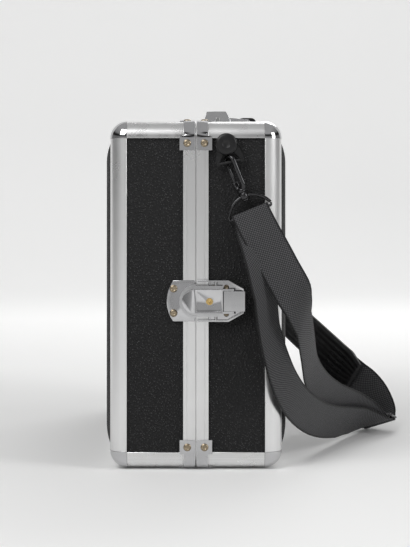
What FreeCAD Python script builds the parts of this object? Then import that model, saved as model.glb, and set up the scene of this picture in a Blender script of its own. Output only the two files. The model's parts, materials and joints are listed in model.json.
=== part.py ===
import FreeCAD, Part
import math
import os

import Sketcher
from FreeCAD import Placement, Rotation, Vector

# A hard sample case of two halves standing on its narrow side.
# The origin lies on the standing plane, under the seam, at mid length.
# +X runs from the seam into the base half, -X into the lid, +Y away from the latch end, +Z up.
# Lengths are in millimetres and angles in degrees.

# Driving dimensions: name, value, what it is
DIMENSIONS = [
    # Case
    ("case_length", 460, "outer length along Y"),
    ("case_height", 343, "outer height of the frames along Z"),
    ("case_thickness", 170, "outer thickness along X with both halves closed"),
    ("seam_gap", 1, "gap between the two seam frames"),
    # Edge extrusions
    ("edge_radius", 17, "outer radius of the quarter-round extrusions"),
    ("edge_wall", 1.4, "wall of the extrusions"),
    ("panel_recess", 2.3, "depth of the panels below the outer planes"),
    ("panel_sheet", 4, "thickness of the panels"),
    ("slot_room", 0.3, "room beyond a panel's edge in its slot"),
    # Seam frames
    ("seam_width", 12, "width of a seam frame along X"),
    ("seam_block", 6, "width of the solid part of a seam frame"),
    ("seam_line_depth", 0.5, "depth of the decorative line round a seam frame"),
    ("seam_line_width", 0.8, "width of that line"),
    ("seam_line_place", 8, "distance of that line from the mating face"),
    ("tongue_sheet", 1.2, "thickness of the lid's tongue"),
    ("tongue_reach", 1.5, "reach of the tongue past the middle of the seam"),
    ("groove_room", 0.7, "room on each side of the tongue in its groove"),
    # Main panels
    ("crown_rise", 7.6, "rise of a main panel's crown above its sheet"),
    ("crown_shoulder", 26, "width of the crown's rounded shoulder"),
    ("crown_margin", 0.4, "gap between the crown and the extrusions"),
    # Ball corners
    ("ball_proud", 0.4, "how far a ball corner stands proud of the extrusions"),
    ("ball_sheet", 1.2, "thickness of a ball corner"),
    # Corner braces
    ("brace_sheet", 1, "thickness of a corner brace"),
    ("brace_seat", 0.2, "depth that a brace's level leg is let into the frame"),
    ("brace_head", 15, "width of a brace's heads"),
    ("brace_neck", 11, "width of its neck"),
    ("brace_leg", 29, "reach of each leg from the outer corner"),
    ("brace_head_length", 14, "length of a head"),
    ("brace_inset", 0.5, "distance of a brace from the mating face"),
    ("notch_depth", 2, "depth of the notch between head and neck"),
    # Rivets
    ("rivet_head", 3.9, "radius of a rivet's head"),
    ("rivet_rise", 1.5, "height of a rivet's head"),
    # Lining
    ("lining_sheet", 2.5, "thickness of the lining"),
    ("lining_room", 0.1, "room between the lining and the extrusions"),
    # Hinges
    ("hinge_height", 70, "height of a hinge"),
    ("hinge_spread", 190, "distance between the two hinges"),
    ("knuckle_radius", 3.5, "outer radius of the knuckles"),
    ("knuckle_lift", 0.1, "gap between the knuckles and the far face"),
    ("hinge_pin_radius", 1.6, "radius of the hinge pins"),
    ("hinge_pin_fit", 0.05, "radial clearance of the pins in the knuckles"),
    ("leaf_sheet", 1.5, "thickness of a leaf"),
    ("leaf_width", 11.6, "width of a leaf from the middle of the seam"),
    ("knuckle_gap", 0.3, "gap between knuckles along the axis"),
    ("hinge_rivet_spread", 25, "distance of the outer rivets from a hinge's middle"),
    # Small rivets
    ("small_head", 2.7, "radius of a small rivet's head"),
    ("small_rise", 0.9, "height of its head"),
    # Latch
    ("latch_drop", 5.5, "height of the case's middle above the latch"),
    ("catch_half", 20.3, "half height of the catch plate and the latch base"),
    ("catch_reach", 28.8, "reach of the catch plate from the middle of the seam"),
    ("catch_bow", 6.4, "bow of the catch plate's far end"),
    ("catch_gap", 0.8, "distance of the catch plate from the middle of the seam"),
    ("catch_sheet", 1.2, "thickness of the catch plate on the frame"),
    ("catch_rivet_x", 21.9, "distance of the catch rivets from the middle of the seam"),
    ("catch_rivet_z", 12, "height of the catch rivets from the latch's level"),
    ("keeper_rise", 1.4, "height of the keeper above the catch plate"),
    ("keeper_width", 2.4, "width of the keeper"),
    ("keeper_half", 7, "half length of the keeper"),
    ("keeper_place", 8, "distance of the keeper from the middle of the seam"),
    ("latch_room", 0.3, "room between parts of the latch"),
    ("latch_wall", 1.5, "wall of the latch base"),
    ("latch_floor", 1.2, "floor of the latch base"),
    ("latch_rise", 5.5, "height of the base's walls above the near face"),
    ("latch_start", 1.6, "distance of the base's walls from the middle of the seam"),
    ("latch_shoulder", 32, "where the base begins to narrow"),
    ("latch_end", 47, "far end of the base"),
    ("latch_end_half", 12, "half height of the base at its far end"),
    ("latch_rivet_first", 17, "place of the first base rivets"),
    ("latch_rivet_last", 30, "place of the last base rivets"),
    ("latch_rivet_z", 13.2, "height of the base rivets from the latch's level"),
    ("lever_pivot_x", 19.7, "place of the lever's pivot"),
    ("lever_pivot_out", 3.5, "distance of the lever's pivot in front of the near face"),
    ("lever_knuckle", 2.8, "radius of the lever's knuckle at its pivot"),
    ("latch_pin_radius", 1.5, "radius of the latch's pins"),
    ("latch_pin_fit", 0.05, "radial clearance of the latch's pins"),
    ("hasp_pivot_x", 36.5, "place of the hasp's pivot on the lever"),
    ("hasp_pivot_out", 7, "distance of the hasp's pivot in front of the near face"),
    ("hasp_knuckle", 2.6, "radius of the knuckles at the hasp's pivot"),
    ("lever_half", 9.8, "half height of the lever"),
    ("tongue_start", 27.3, "near end of the lever's finger tongue"),
    ("tongue_end", 52, "far end of the finger tongue"),
    ("finger_sheet", 2, "thickness of the finger tongue"),
    ("finger_out", 10, "distance of the tongue's outer face in front of the near face"),
    ("finger_drop", 2.4, "how far the tongue's tip turns back"),
    ("hasp_nose", 16.8, "radius of the hasp's nose"),
    ("hasp_nose_x", 0.6, "place of the nose's centre"),
    ("hasp_half", 15.2, "half height of the hasp behind its nose"),
    ("hasp_plate_out", 7, "distance of the hasp's plate in front of the near face"),
    ("hasp_sheet", 1.7, "thickness of the hasp's plate"),
    ("hasp_rim", 2.6, "width of the rim round the hasp's nose"),
    ("hasp_channel", 0.8, "depth of the channel inside the rim"),
    ("hasp_channel_width", 2.2, "width of that channel"),
    ("lock_start", -1.2, "near end of the hasp's lock box"),
    ("lock_end", 26.5, "far end of the lock box"),
    ("lock_half", 11.7, "half height of the lock box"),
    ("lock_out", 13, "distance of the lock box's face in front of the near face"),
    ("lock_frame", 2.2, "width of the frame round the lock box's face"),
    ("lock_recess", 0.8, "depth of the face inside the frame"),
    ("lock_wall", 1.3, "wall of the lock box"),
    ("lock_roof", 2.8, "thickness of the lock box behind its frame"),
    ("wedge_start", -13.6, "tip of the wedge in front of the lock box"),
    ("key_x", 13.4, "place of the key cylinder"),
    ("key_radius", 3.4, "radius of the key cylinder"),
    ("key_fit", 0.05, "radial clearance of the key cylinder"),
    ("key_proud", 0.5, "how far the cylinder stands out of the face"),
    ("key_length", 4, "length of the key cylinder"),
    ("keyhole_half", 1.7, "half length of the keyhole"),
    ("keyhole_width", 0.9, "width of the keyhole"),
    ("keyhole_depth", 1.5, "depth of the keyhole"),
    # Handle
    ("handle_x", 22.5, "place of the handle's pivots"),
    ("handle_level", 8, "height of the pivots above the frames"),
    ("bracket_place", 78, "distance of the brackets' middles from mid length"),
    ("bracket_half", 10, "half length of a bracket along Y"),
    ("bracket_start", 8.6, "near side of a bracket above the seam frame"),
    ("bracket_foot", 13.2, "near side of a bracket's foot"),
    ("bracket_end", 36.8, "far side of a bracket"),
    ("bracket_top", 17, "height of a bracket above the frames"),
    ("bracket_top_start", 10.6, "near side of a bracket's top"),
    ("bracket_top_end", 31.5, "far side of a bracket's top"),
    ("bracket_shoulder", 7, "height of a bracket's shoulders above the frames"),
    ("bracket_ear", 8, "length of the feet beyond a bracket"),
    ("ear_sheet", 2, "thickness of the feet"),
    ("arm_sheet", 4.6, "thickness of the handle's arms"),
    ("arm_width", 8, "width of the handle's arms"),
    ("arm_room", 0.4, "room on each side of an arm in its bracket"),
    ("arm_slot_start", 17, "near side of the slot for the arm"),
    ("arm_slot_low", 1.4, "height of the slot's floor above the frames"),
    ("handle_pin", 2.5, "radius of the handle's pivot pins"),
    ("handle_pin_fit", 0.05, "radial clearance of the arms on the pins"),
    ("handle_reach", 32, "distance of the grip from the pivots"),
    ("handle_sag", 3.4, "drop of the grip below the pivots when it lies folded"),
    ("grip_width", 20, "width of the grip"),
    ("grip_height", 12, "thickness of the grip"),
    ("grip_corner", 5.4, "radius of the grip's edges"),
    ("grip_gap", 0.4, "gap between the grip and the arms"),
    ("bail_bar", 3, "radius of the bar inside the grip"),
    # Strap anchors
    ("anchor_x", 30, "place of the strap anchors"),
    ("anchor_drop", 23, "height of the frames above the anchors"),
    ("anchor_base", 5.7, "radius of an anchor's base"),
    ("anchor_base_rise", 5.9, "height of an anchor's base above the panel"),
    ("anchor_stem", 4.5, "radius of an anchor's stem"),
    ("anchor_cap", 10.6, "radius of an anchor's cap"),
    ("anchor_cap_sheet", 3, "thickness of an anchor's cap"),
    ("anchor_loop_sheet", 3.3, "thickness of an anchor's loop"),
    ("anchor_play", 0.3, "play of the loop between base and cap"),
    ("anchor_fit", 0.1, "radial clearance of the loop on its stem"),
    ("loop_head", 9.5, "radius of the loop's round head"),
    ("loop_tilt", 12, "tilt of the loop towards the strap"),
    ("loop_bar_place", 18, "distance of the loop's bar from its stem"),
    ("loop_bar", 1.5, "radius of the loop's bar"),
    ("loop_window", 10.5, "half width of the loop's window"),
    ("loop_side", 3.2, "width of the loop's sides"),
    ("loop_lip", 0.5, "reach of the loop's sides past the bar"),
    ("loop_corner", 2.4, "radius of the loop's lower corners"),
    # Snap hooks
    ("hook_tilt", 22, "tilt of a hook's axis from upright"),
    ("hook_turn", 50, "turn of a hook's plane out of the end face"),
    ("hook_eye", 5.5, "radius of the eye, at the wire's middle"),
    ("hook_wire", 2.2, "half width of the hook's bar"),
    ("hook_half", 1.4, "half thickness of the hook's bar"),
    ("hook_spine", 24, "length of the spine below the eye's centre"),
    ("hook_hang", 0.2, "drop of the eye's centre below the loop's bar"),
    ("gate_wire", 1.6, "radius of the gate"),
    ("gate_pivot", 20.5, "distance of the gate's pivot below the eye's centre"),
    ("gate_top", 1.2, "distance of the gate's top below the eye's centre"),
    ("gate_half", 1.5, "half width of the gate's knuckle"),
    ("gate_pin", 0.7, "radius of the gate's pin"),
    ("gate_fit", 0.1, "radial clearance of the gate on its pin"),
    ("ear_thick", 1.2, "thickness of the ears beside the gate"),
    ("collar_length", 3, "length of the collar below the bow's middle line"),
    ("swivel_length", 6, "length of the swivel boss"),
    ("swivel_radius", 4.2, "radius of the swivel boss"),
    ("stem_radius", 1.8, "radius of the hook's stem"),
    ("stem_fit", 0.1, "radial clearance of the stem in the boss"),
    ("stem_head", 2.8, "radius of the stem's head"),
    ("ring_bar_place", 53.5, "distance of the strap ring's bar below the eye's centre"),
    ("ring_half", 21.8, "half width of the strap ring, at the wire's middle"),
    ("ring_wire", 1.7, "radius of the strap ring's wire"),
    ("ring_side", 3, "length of the ring's straight sides"),
    # Strap
    ("webbing_width", 38, "width of the webbing"),
    ("webbing_sheet", 1.4, "thickness of the webbing"),
    ("webbing_room", 0.35, "room between the webbing and what it goes round"),
    ("sewn_share", 0.3, "place of the sewn end between the last station and the far ring"),
    ("slider_bar", 1.1, "radius of the slider's bars"),
    ("slider_reach", 11, "distance of the slider's end bars from its middle bar"),
    ("slider_half", 21, "half width of the slider"),
    ("pad_width", 44, "width of the shoulder pad"),
    ("pad_sheet", 8, "thickness of the shoulder pad"),
    ("pad_end_share", 0.8, "size of the pad's ends to its middle"),
]


class Size:
    """A length or angle that knows its value and the sheet expression that gives it."""

    def __init__(self, value, text):
        self.value = value
        self.text = text

    def __add__(self, other):
        other = as_size(other)
        return Size(self.value + other.value, f"({self.text} + {other.text})")

    def __radd__(self, other):
        return as_size(other) + self

    def __sub__(self, other):
        other = as_size(other)
        return Size(self.value - other.value, f"({self.text} - {other.text})")

    def __rsub__(self, other):
        return as_size(other) - self

    def __mul__(self, other):
        other = as_size(other)
        return Size(self.value * other.value, f"({self.text} * {other.text})")

    def __rmul__(self, other):
        return as_size(other) * self

    def __truediv__(self, other):
        other = as_size(other)
        return Size(self.value / other.value, f"({self.text} / {other.text})")

    def __neg__(self):
        return Size(-self.value, f"(0 - {self.text})")


def as_size(number):
    """A plain number as a Size."""
    if isinstance(number, Size):
        return number
    return Size(float(number), repr(float(number)))


def root(size):
    """The square root of a Size."""
    return Size(math.sqrt(size.value), f"sqrt({size.text})")


def sine(angle):
    """The sine of an angle in degrees."""
    return Size(math.sin(math.radians(angle.value)), f"sin({angle.text} * 1 deg)")


def cosine(angle):
    """The cosine of an angle in degrees."""
    return Size(math.cos(math.radians(angle.value)), f"cos({angle.text} * 1 deg)")


class Dimensions:
    """The driving dimensions, each as a Size under its own name."""


doc = FreeCAD.newDocument("SampleCase")
sheet = doc.addObject("Spreadsheet::Sheet", "Sizes")
dim = Dimensions()
NODES = []


def fill_sheet():
    """Write each driving dimension to the sheet and give it to dim by name."""
    for row, (name, value, meaning) in enumerate(DIMENSIONS, 1):
        sheet.set(f"A{row}", meaning)
        sheet.set(f"B{row}", str(value))
        sheet.setAlias(f"B{row}", name)
    doc.recompute()
    for name, value, meaning in DIMENSIONS:
        setattr(dim, name, Size(float(sheet.get(name)), f"Sizes.{name}"))


fill_sheet()

# Planes, levels and depths that several pieces share
half_length = dim.case_length / 2
half_thickness = dim.case_thickness / 2
frame_bottom = dim.brace_sheet
frame_top = frame_bottom + dim.case_height
middle = frame_bottom + dim.case_height / 2
seam_face = dim.seam_gap / 2
seam_edge = seam_face + dim.seam_width
panel_back = dim.panel_recess + dim.panel_sheet
flange_back = panel_back + dim.edge_wall

# The slot of an extrusion begins where its inner arc meets the panel's outer plane
inner_radius = dim.edge_radius - dim.edge_wall
slot_run = root(
    inner_radius * inner_radius
    - (dim.edge_radius - dim.panel_recess) * (dim.edge_radius - dim.panel_recess)
)
slot_start = dim.edge_radius - slot_run
panel_edge = slot_start + dim.slot_room


# Helpers for sketches and bodies
PLANE_ROLES = {"x": "YZ_Plane", "y": "XZ_Plane", "z": "XY_Plane"}


class To:
    """A straight line to a point of an outline."""

    def __init__(self, across, up):
        self.across = as_size(across)
        self.up = as_size(up)
        self.centre = None


class Arc(To):
    """An arc to a point of an outline, about a centre, turning left (+1) or right (-1)."""

    def __init__(self, across, up, centre_across, centre_up, turn):
        super().__init__(across, up)
        self.centre = (as_size(centre_across), as_size(centre_up))
        self.turn = turn


def fix_point(sketch, geometry, position, across=None, up=None):
    """Hold a point of a sketch at a place given by Sizes."""
    for kind, size in (("DistanceX", across), ("DistanceY", up)):
        if size is not None:
            index = sketch.addConstraint(
                Sketcher.Constraint(kind, -1, 1, geometry, position, size.value)
            )
            sketch.setExpression(f"Constraints[{index}]", size.text)


def arc_curve(start, end, centre, turn):
    """A circular arc between two points, turning left or right about its centre."""
    radius = (start - centre).Length
    first = math.atan2(start.y - centre.y, start.x - centre.x)
    last = math.atan2(end.y - centre.y, end.x - centre.x)
    if turn < 0:
        first, last = last, first
    if last <= first:
        last += 2 * math.pi
    circle = Part.Circle(centre, Vector(0, 0, 1), radius)
    return Part.ArcOfCircle(circle, first, last)


def draw_outline(sketch, outline):
    """Add a closed outline, each of its points held by the sheet."""
    points = [Vector(step.across.value, step.up.value, 0) for step in outline]
    ends = []
    for number, step in enumerate(outline):
        start = points[number - 1]
        end = points[number]
        if step.centre is None:
            index = sketch.addGeometry(Part.LineSegment(start, end))
            ends.append((index, 1, 2))
        else:
            centre = Vector(step.centre[0].value, step.centre[1].value, 0)
            curve = arc_curve(start, end, centre, step.turn)
            index = sketch.addGeometry(curve)
            ends.append((index, 1, 2) if step.turn > 0 else (index, 2, 1))
    for number in range(len(outline)):
        index, start, end = ends[number]
        last_index, last_start, last_end = ends[number - 1]
        sketch.addConstraint(
            Sketcher.Constraint("Coincident", last_index, last_end, index, start)
        )
    for number, step in enumerate(outline):
        index, start, end = ends[number]
        if step.centre is None:
            fix_point(sketch, index, end, step.across, step.up)
            continue
        fix_point(sketch, index, 3, *step.centre)
        rise = abs(step.up.value - step.centre[1].value)
        run = abs(step.across.value - step.centre[0].value)
        if run < rise:
            fix_point(sketch, index, end, across=step.across)
        else:
            fix_point(sketch, index, end, up=step.up)


def draw_circle(sketch, across, up, radius):
    """Add a circle held by the sheet."""
    across = as_size(across)
    up = as_size(up)
    centre = Vector(across.value, up.value, 0)
    circle = Part.Circle(centre, Vector(0, 0, 1), radius.value)
    index = sketch.addGeometry(circle)
    fix_point(sketch, index, 3, across, up)
    number = sketch.addConstraint(Sketcher.Constraint("Radius", index, radius.value))
    sketch.setExpression(f"Constraints[{number}]", radius.text)


def rectangle(left, right, low, high):
    """The outline of a rectangle."""
    return [To(left, low), To(right, low), To(right, high), To(left, high)]


def rounded_rectangle(left, right, low, high, radius):
    """The outline of a rectangle with rounded corners."""
    left, right, low, high = map(as_size, (left, right, low, high))
    return [
        To(right - radius, low),
        Arc(right, low + radius, right - radius, low + radius, 1),
        To(right, high - radius),
        Arc(right - radius, high, right - radius, high - radius, 1),
        To(left + radius, high),
        Arc(left, high - radius, left + radius, high - radius, 1),
        To(left, low + radius),
        Arc(left + radius, low, left + radius, low + radius, 1),
    ]


def new_body(name):
    """An empty body."""
    body = doc.addObject("PartDesign::Body", name)
    body.Label = name
    return body


def new_sketch(body, axis, place, outlines=(), circles=()):
    """A sketch square to an axis at a place along it."""
    sketch = body.newObject("Sketcher::SketchObject", body.Name + "_sketch")
    role = PLANE_ROLES[axis]
    plane = [f for f in body.Origin.OriginFeatures if f.Role == role][0]
    sketch.AttachmentSupport = [(plane, "")]
    sketch.MapMode = "FlatFace"
    place = as_size(place)
    offset = -place if axis == "y" else place
    sketch.setExpression(".AttachmentOffset.Base.z", offset.text)
    for outline in outlines:
        draw_outline(sketch, outline)
    for circle in circles:
        draw_circle(sketch, *circle)
    return sketch


def pad(body, axis, start, end, outlines=(), circles=()):
    """Add material between two places along an axis."""
    start, end = as_size(start), as_size(end)
    sketch = new_sketch(body, axis, start, outlines, circles)
    feature = body.newObject("PartDesign::Pad", body.Name + "_pad")
    feature.Profile = sketch
    feature.setExpression("Length", (end - start).text)
    feature.Reversed = axis == "y"
    body.Tip = feature
    doc.recompute()
    return feature


def pocket(body, axis, start, end, outlines=(), circles=()):
    """Remove material between two places along an axis."""
    start, end = as_size(start), as_size(end)
    before = body.Shape.Volume
    sketch = new_sketch(body, axis, start, outlines, circles)
    feature = body.newObject("PartDesign::Pocket", body.Name + "_pocket")
    feature.Profile = sketch
    feature.setExpression("Length", (end - start).text)
    feature.Reversed = axis != "y"
    body.Tip = feature
    doc.recompute()
    if body.Shape.Volume >= before:
        raise RuntimeError(f"a pocket of {body.Label} cuts nothing")
    return feature


def revolve(body, axis, place, outline, pole, angle=360):
    """Turn an outline round a line through a point of its sketch, along the sketch's upright."""
    sketch = new_sketch(body, axis, place, [outline])
    across, up = map(as_size, pole)
    start = Vector(across.value, up.value, 0)
    line = sketch.addGeometry(Part.LineSegment(start, start + Vector(0, 1, 0)), True)
    fix_point(sketch, line, 1, across, up)
    fix_point(sketch, line, 2, across, up + 1)
    feature = body.newObject("PartDesign::Revolution", body.Name + "_turn")
    feature.Profile = sketch
    feature.ReferenceAxis = (sketch, ["Axis0"])
    feature.Angle = angle
    body.Tip = feature
    doc.recompute()
    return feature


def box(name, low, high):
    """A block between two corners, each a tuple of Sizes."""
    block = doc.addObject("Part::Box", name)
    low = [as_size(value) for value in low]
    high = [as_size(value) for value in high]
    for letter, side, first, last in zip("xyz", ("Length", "Width", "Height"), low, high):
        block.setExpression(side, (last - first).text)
        block.setExpression(f".Placement.Base.{letter}", first.text)
    return block


def cylinder(name, axis, start, end, across, up, radius):
    """A round bar along an axis."""
    bar = doc.addObject("Part::Cylinder", name)
    start, end, across, up = map(as_size, (start, end, across, up))
    places = {
        "x": (start, across, up),
        "y": (across, start, up),
        "z": (across, up, start),
    }[axis]
    turns = {
        "x": Rotation(Vector(0, 0, 1), Vector(1, 0, 0)),
        "y": Rotation(Vector(0, 0, 1), Vector(0, 1, 0)),
        "z": Rotation(),
    }
    bar.Placement = Placement(Vector(), turns[axis])
    bar.setExpression("Radius", radius.text)
    bar.setExpression("Height", (end - start).text)
    for letter, value in zip("xyz", places):
        bar.setExpression(f".Placement.Base.{letter}", value.text)
    return bar


def cut(name, base, tools):
    """The base less its tools."""
    tool = tools[0] if len(tools) == 1 else join(name + "_tools", tools)
    feature = doc.addObject("Part::Cut", name)
    feature.Base = base
    feature.Tool = tool
    return feature


def join(name, shapes):
    """Several shapes fused into one."""
    feature = doc.addObject("Part::MultiFuse", name)
    feature.Shapes = shapes
    return feature


def group(name, shapes):
    """Several shapes side by side in one object."""
    feature = doc.addObject("Part::Compound", name)
    feature.Links = shapes
    return feature


def mirror(name, source, axis, place=0):
    """The mirror image of an object across a plane square to an axis."""
    feature = doc.addObject("Part::Mirroring", name)
    feature.Source = source
    feature.Normal = {"x": Vector(1, 0, 0), "y": Vector(0, 1, 0), "z": Vector(0, 0, 1)}[axis]
    feature.setExpression(f".Base.{axis}", as_size(place).text)
    return feature


def node(name, item):
    """Name an object as one of the pieces that are written out."""
    item.Label = name
    NODES.append(item)
    return item


def near_and_far(name, item):
    """An object at the near end and its image at the far end."""
    return group(name, [item, mirror(name + "_far", item, "y")])


def four_corners(name, item):
    """An object at the four corners of the seen end and the hidden end."""
    upper = mirror(name + "_upper", item, "z", middle)
    far = mirror(name + "_far", item, "y")
    far_upper = mirror(name + "_far_upper", upper, "y")
    return group(name, [item, upper, far, far_upper])


# Edge extrusions
def edge_outline(corner_across, corner_up, side_across, side_up):
    """The section of an edge extrusion, its outer corner at a point and its body towards the sides.

    A quarter-round shell with a lip over each panel, and an inner angle that backs both panels.
    """
    radius = dim.edge_radius
    wall = dim.edge_wall
    recess = dim.panel_recess
    web = wall / 2
    web_run = root(
        inner_radius * inner_radius
        - (radius - panel_back - web) * (radius - panel_back - web)
    )
    turn = side_across * side_up

    def at(along, deep):
        return corner_across + side_across * along, corner_up + side_up * deep

    centre = at(radius, radius)
    web_start = radius - web_run
    return [
        To(*at(radius, recess)),
        To(*at(slot_start, recess)),
        Arc(*at(panel_back + web, web_start), *centre, -turn),
        To(*at(panel_back + web, panel_back)),
        To(*at(radius, panel_back)),
        To(*at(radius, flange_back)),
        To(*at(flange_back, flange_back)),
        To(*at(flange_back, radius)),
        To(*at(panel_back, radius)),
        To(*at(panel_back, panel_back + web)),
        To(*at(web_start, panel_back + web)),
        Arc(*at(recess, slot_start), *centre, -turn),
        To(*at(recess, radius)),
        To(*at(as_size(0), radius)),
        Arc(*at(radius, as_size(0)), *centre, turn),
    ]


def main_edges(half):
    """The four extrusions round a main panel."""
    upright = new_body(half + "_upright_edge")
    section = edge_outline(half_thickness, -half_length, -1, 1)
    pad(upright, "z", frame_bottom + dim.edge_radius, frame_top - dim.edge_radius, [section])
    level = new_body(half + "_level_edge")
    section = edge_outline(half_thickness, frame_bottom, -1, 1)
    reach = half_length - dim.edge_radius
    pad(level, "y", -reach, reach, [section])
    far = mirror(half + "_far_edge", upright, "y")
    upper = mirror(half + "_upper_edge", level, "z", middle)
    return group(half + "_main_edge_set", [upright, far, level, upper])


def side_edges(half):
    """The four extrusions along the thickness, from the seam frame to the ball corners."""
    edge = new_body(half + "_side_edge")
    section = edge_outline(-half_length, frame_bottom, 1, 1)
    pad(edge, "x", seam_edge, half_thickness - dim.edge_radius, [section])
    return four_corners(half + "_side_edge_set", edge)


# Seam frames
def ring_outline(depth):
    """The outline of a seam frame at a depth below its outer planes."""
    return rounded_rectangle(
        depth - half_length,
        half_length - depth,
        frame_bottom + depth,
        frame_top - depth,
        dim.edge_radius - depth,
    )


tongue_top = (panel_back + flange_back - dim.edge_wall - dim.tongue_sheet) / 2 - dim.edge_wall / 2
tongue_back = tongue_top + dim.tongue_sheet
groove_top = tongue_top - dim.groove_room
groove_back = tongue_back + dim.groove_room


def seam_frame(half):
    """A frame bent round the opening, with slots that hold the panels."""
    frame = new_body(half + "_seam_ring")
    lip = [ring_outline(as_size(0)), ring_outline(dim.panel_recess)]
    flange = [ring_outline(panel_back), ring_outline(flange_back)]
    block = [ring_outline(dim.panel_recess), ring_outline(panel_back)]
    line = [ring_outline(as_size(-1)), ring_outline(dim.seam_line_depth)]
    pad(frame, "x", seam_face, seam_edge, lip)
    pad(frame, "x", seam_face, seam_face + dim.seam_block, block)
    pad(frame, "x", seam_face, seam_edge, flange)
    line_start = seam_face + dim.seam_line_place
    pocket(frame, "x", line_start, line_start + dim.seam_line_width, line)
    first, last = near_plane + dim.edge_radius, near_plane + dim.brace_leg
    seats = [
        rectangle(seam_face, line_start, first, last),
        rectangle(seam_face, line_start, -last, -first),
    ]
    pocket(frame, "z", frame_bottom, frame_bottom + dim.brace_seat, seats)
    pocket(frame, "z", frame_top - dim.brace_seat, frame_top, seats)
    return frame


def base_seam_frame():
    """The base's frame, with the groove that takes the lid's tongue."""
    frame = seam_frame("base")
    groove = [ring_outline(groove_top), ring_outline(groove_back)]
    pocket(frame, "x", seam_face, dim.tongue_reach + dim.groove_room, groove)
    return frame


def lid_seam_frame():
    """The lid's frame, with the tongue; made on the base's side and turned over."""
    frame = seam_frame("lid")
    tongue = [ring_outline(tongue_top), ring_outline(tongue_back)]
    pad(frame, "x", -dim.tongue_reach, seam_face, tongue)
    return frame


# Panels
panel_seat = seam_face + dim.seam_block + dim.slot_room
panel_end = half_thickness - panel_edge


def thin_panels(half):
    """The top, bottom, near and far panels of a half, by name, narrower in the frame's slot."""
    reach = half_length - panel_edge
    short = half_length - dim.edge_radius
    low, high = frame_bottom + panel_edge, frame_top - panel_edge
    short_low, short_high = frame_bottom + dim.edge_radius, frame_top - dim.edge_radius

    def outline(first, last, short_first, short_last):
        return [
            To(panel_seat, short_first),
            To(seam_edge, short_first),
            To(seam_edge, first),
            To(panel_end, first),
            To(panel_end, last),
            To(seam_edge, last),
            To(seam_edge, short_last),
            To(panel_seat, short_last),
        ]

    bottom = new_body(half + "_lower_sheet")
    level = [outline(-reach, reach, -short, short)]
    pad(bottom, "z", frame_bottom + dim.panel_recess, frame_bottom + panel_back, level)
    near = new_body(half + "_near_sheet")
    upright = [outline(low, high, short_low, short_high)]
    pad(near, "y", dim.panel_recess - half_length, panel_back - half_length, upright)
    return {
        "bottom": bottom,
        "top": mirror(half + "_upper_sheet", bottom, "z", middle),
        "near": near,
        "far": mirror(half + "_far_sheet", near, "y"),
    }


crown_radius = (
    dim.crown_shoulder * dim.crown_shoulder + dim.crown_rise * dim.crown_rise
) / (dim.crown_rise * 2)


def crown_outline(low, high, back, face, top_first):
    """A sheet's edge with its outer face rounded down at both ends, for either crown direction."""
    top = face + dim.crown_rise
    level = top - crown_radius

    def at(along, out):
        return (out, along) if top_first else (along, out)

    turn = -1 if top_first else 1
    return [
        To(*at(low, back)),
        To(*at(high, back)),
        To(*at(high, face)),
        Arc(*at(high - dim.crown_shoulder, top), *at(high - dim.crown_shoulder, level), turn),
        To(*at(low + dim.crown_shoulder, top)),
        Arc(*at(low, face), *at(low + dim.crown_shoulder, level), turn),
    ]


def main_panel(half):
    """A sheet held in the extrusions, and on it a padded crown with rounded shoulders."""
    face = half_thickness - dim.panel_recess
    back = face - dim.panel_sheet
    reach = half_length - panel_edge
    plate = box(
        half + "_main_sheet",
        (back, -reach, frame_bottom + panel_edge),
        (face, reach, frame_top - panel_edge),
    )
    inset = dim.edge_radius + dim.crown_margin
    low_y, high_y = inset - half_length, half_length - inset
    low_z, high_z = frame_bottom + inset, frame_top - inset
    along = new_body(half + "_crown_along")
    outline = crown_outline(low_y, high_y, back, face, True)
    pad(along, "z", low_z, high_z, [outline])
    upright = new_body(half + "_crown_upright")
    outline = crown_outline(low_z, high_z, back, face, True)
    pad(upright, "y", low_y, high_y, [outline])
    crown = doc.addObject("Part::Common", half + "_crown")
    crown.Base = along
    crown.Tool = upright
    return join(half + "_main_board", [plate, crown])


# Ball corners
def ball_corners(half):
    """Pressed caps over the four outer corners, each an eighth of a hollow ball."""
    radius = dim.edge_radius + dim.ball_proud
    centre = (
        half_thickness - dim.edge_radius,
        dim.edge_radius - half_length,
        frame_bottom + dim.edge_radius,
    )
    cap = new_body(half + "_ball_cap")
    inner = radius - dim.ball_sheet
    x, y, z = centre
    outline = [
        To(x, z - radius),
        Arc(x + radius, z, x, z, 1),
        To(x + inner, z),
        Arc(x, z - inner, x, z, -1),
    ]
    turn = revolve(cap, "y", y, outline, (x, z), 90)
    if cap.Shape.BoundBox.YMin > y.value - 1:
        turn.Reversed = True
        doc.recompute()
    return four_corners(half + "_ball_set", cap)


# Rivets
class RivetKind:
    """The head of a kind of rivet."""

    def __init__(self, head, rise):
        self.head = head
        self.rise = rise


LARGE = RivetKind(dim.rivet_head, dim.rivet_rise)
SMALL = RivetKind(dim.small_head, dim.small_rise)


# The head's outline, in shares of its radius
HEAD_POINTS = [
    (math.cos(math.radians(turn)), math.sin(math.radians(turn))) for turn in range(0, 360, 36)
]


def rivet(name, kind, axis, across, level, seat, outward):
    """The ten-sided head of a rivet along Y or Z, on its seat.

    across is its X, level its height (along Y) or its Y (along Z), and outward the head's side.
    """
    body = new_body(name)
    across, level, seat = as_size(across), as_size(level), as_size(seat)
    outline = [
        To(across + kind.head * over, level + kind.head * up) for over, up in HEAD_POINTS
    ]
    top = seat + kind.rise if outward > 0 else seat - kind.rise
    first, last = (seat, top) if outward > 0 else (top, seat)
    pad(body, axis, first, last, [outline])
    return body


# Corner braces
near_plane = -half_length
brace_outer = near_plane - dim.brace_sheet
brace_start = seam_face + dim.brace_inset
brace_end = brace_start + dim.brace_head
brace_rivet_x = brace_start + dim.brace_head / 2
brace_rivet_place = dim.brace_leg - dim.brace_head_length / 2


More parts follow.
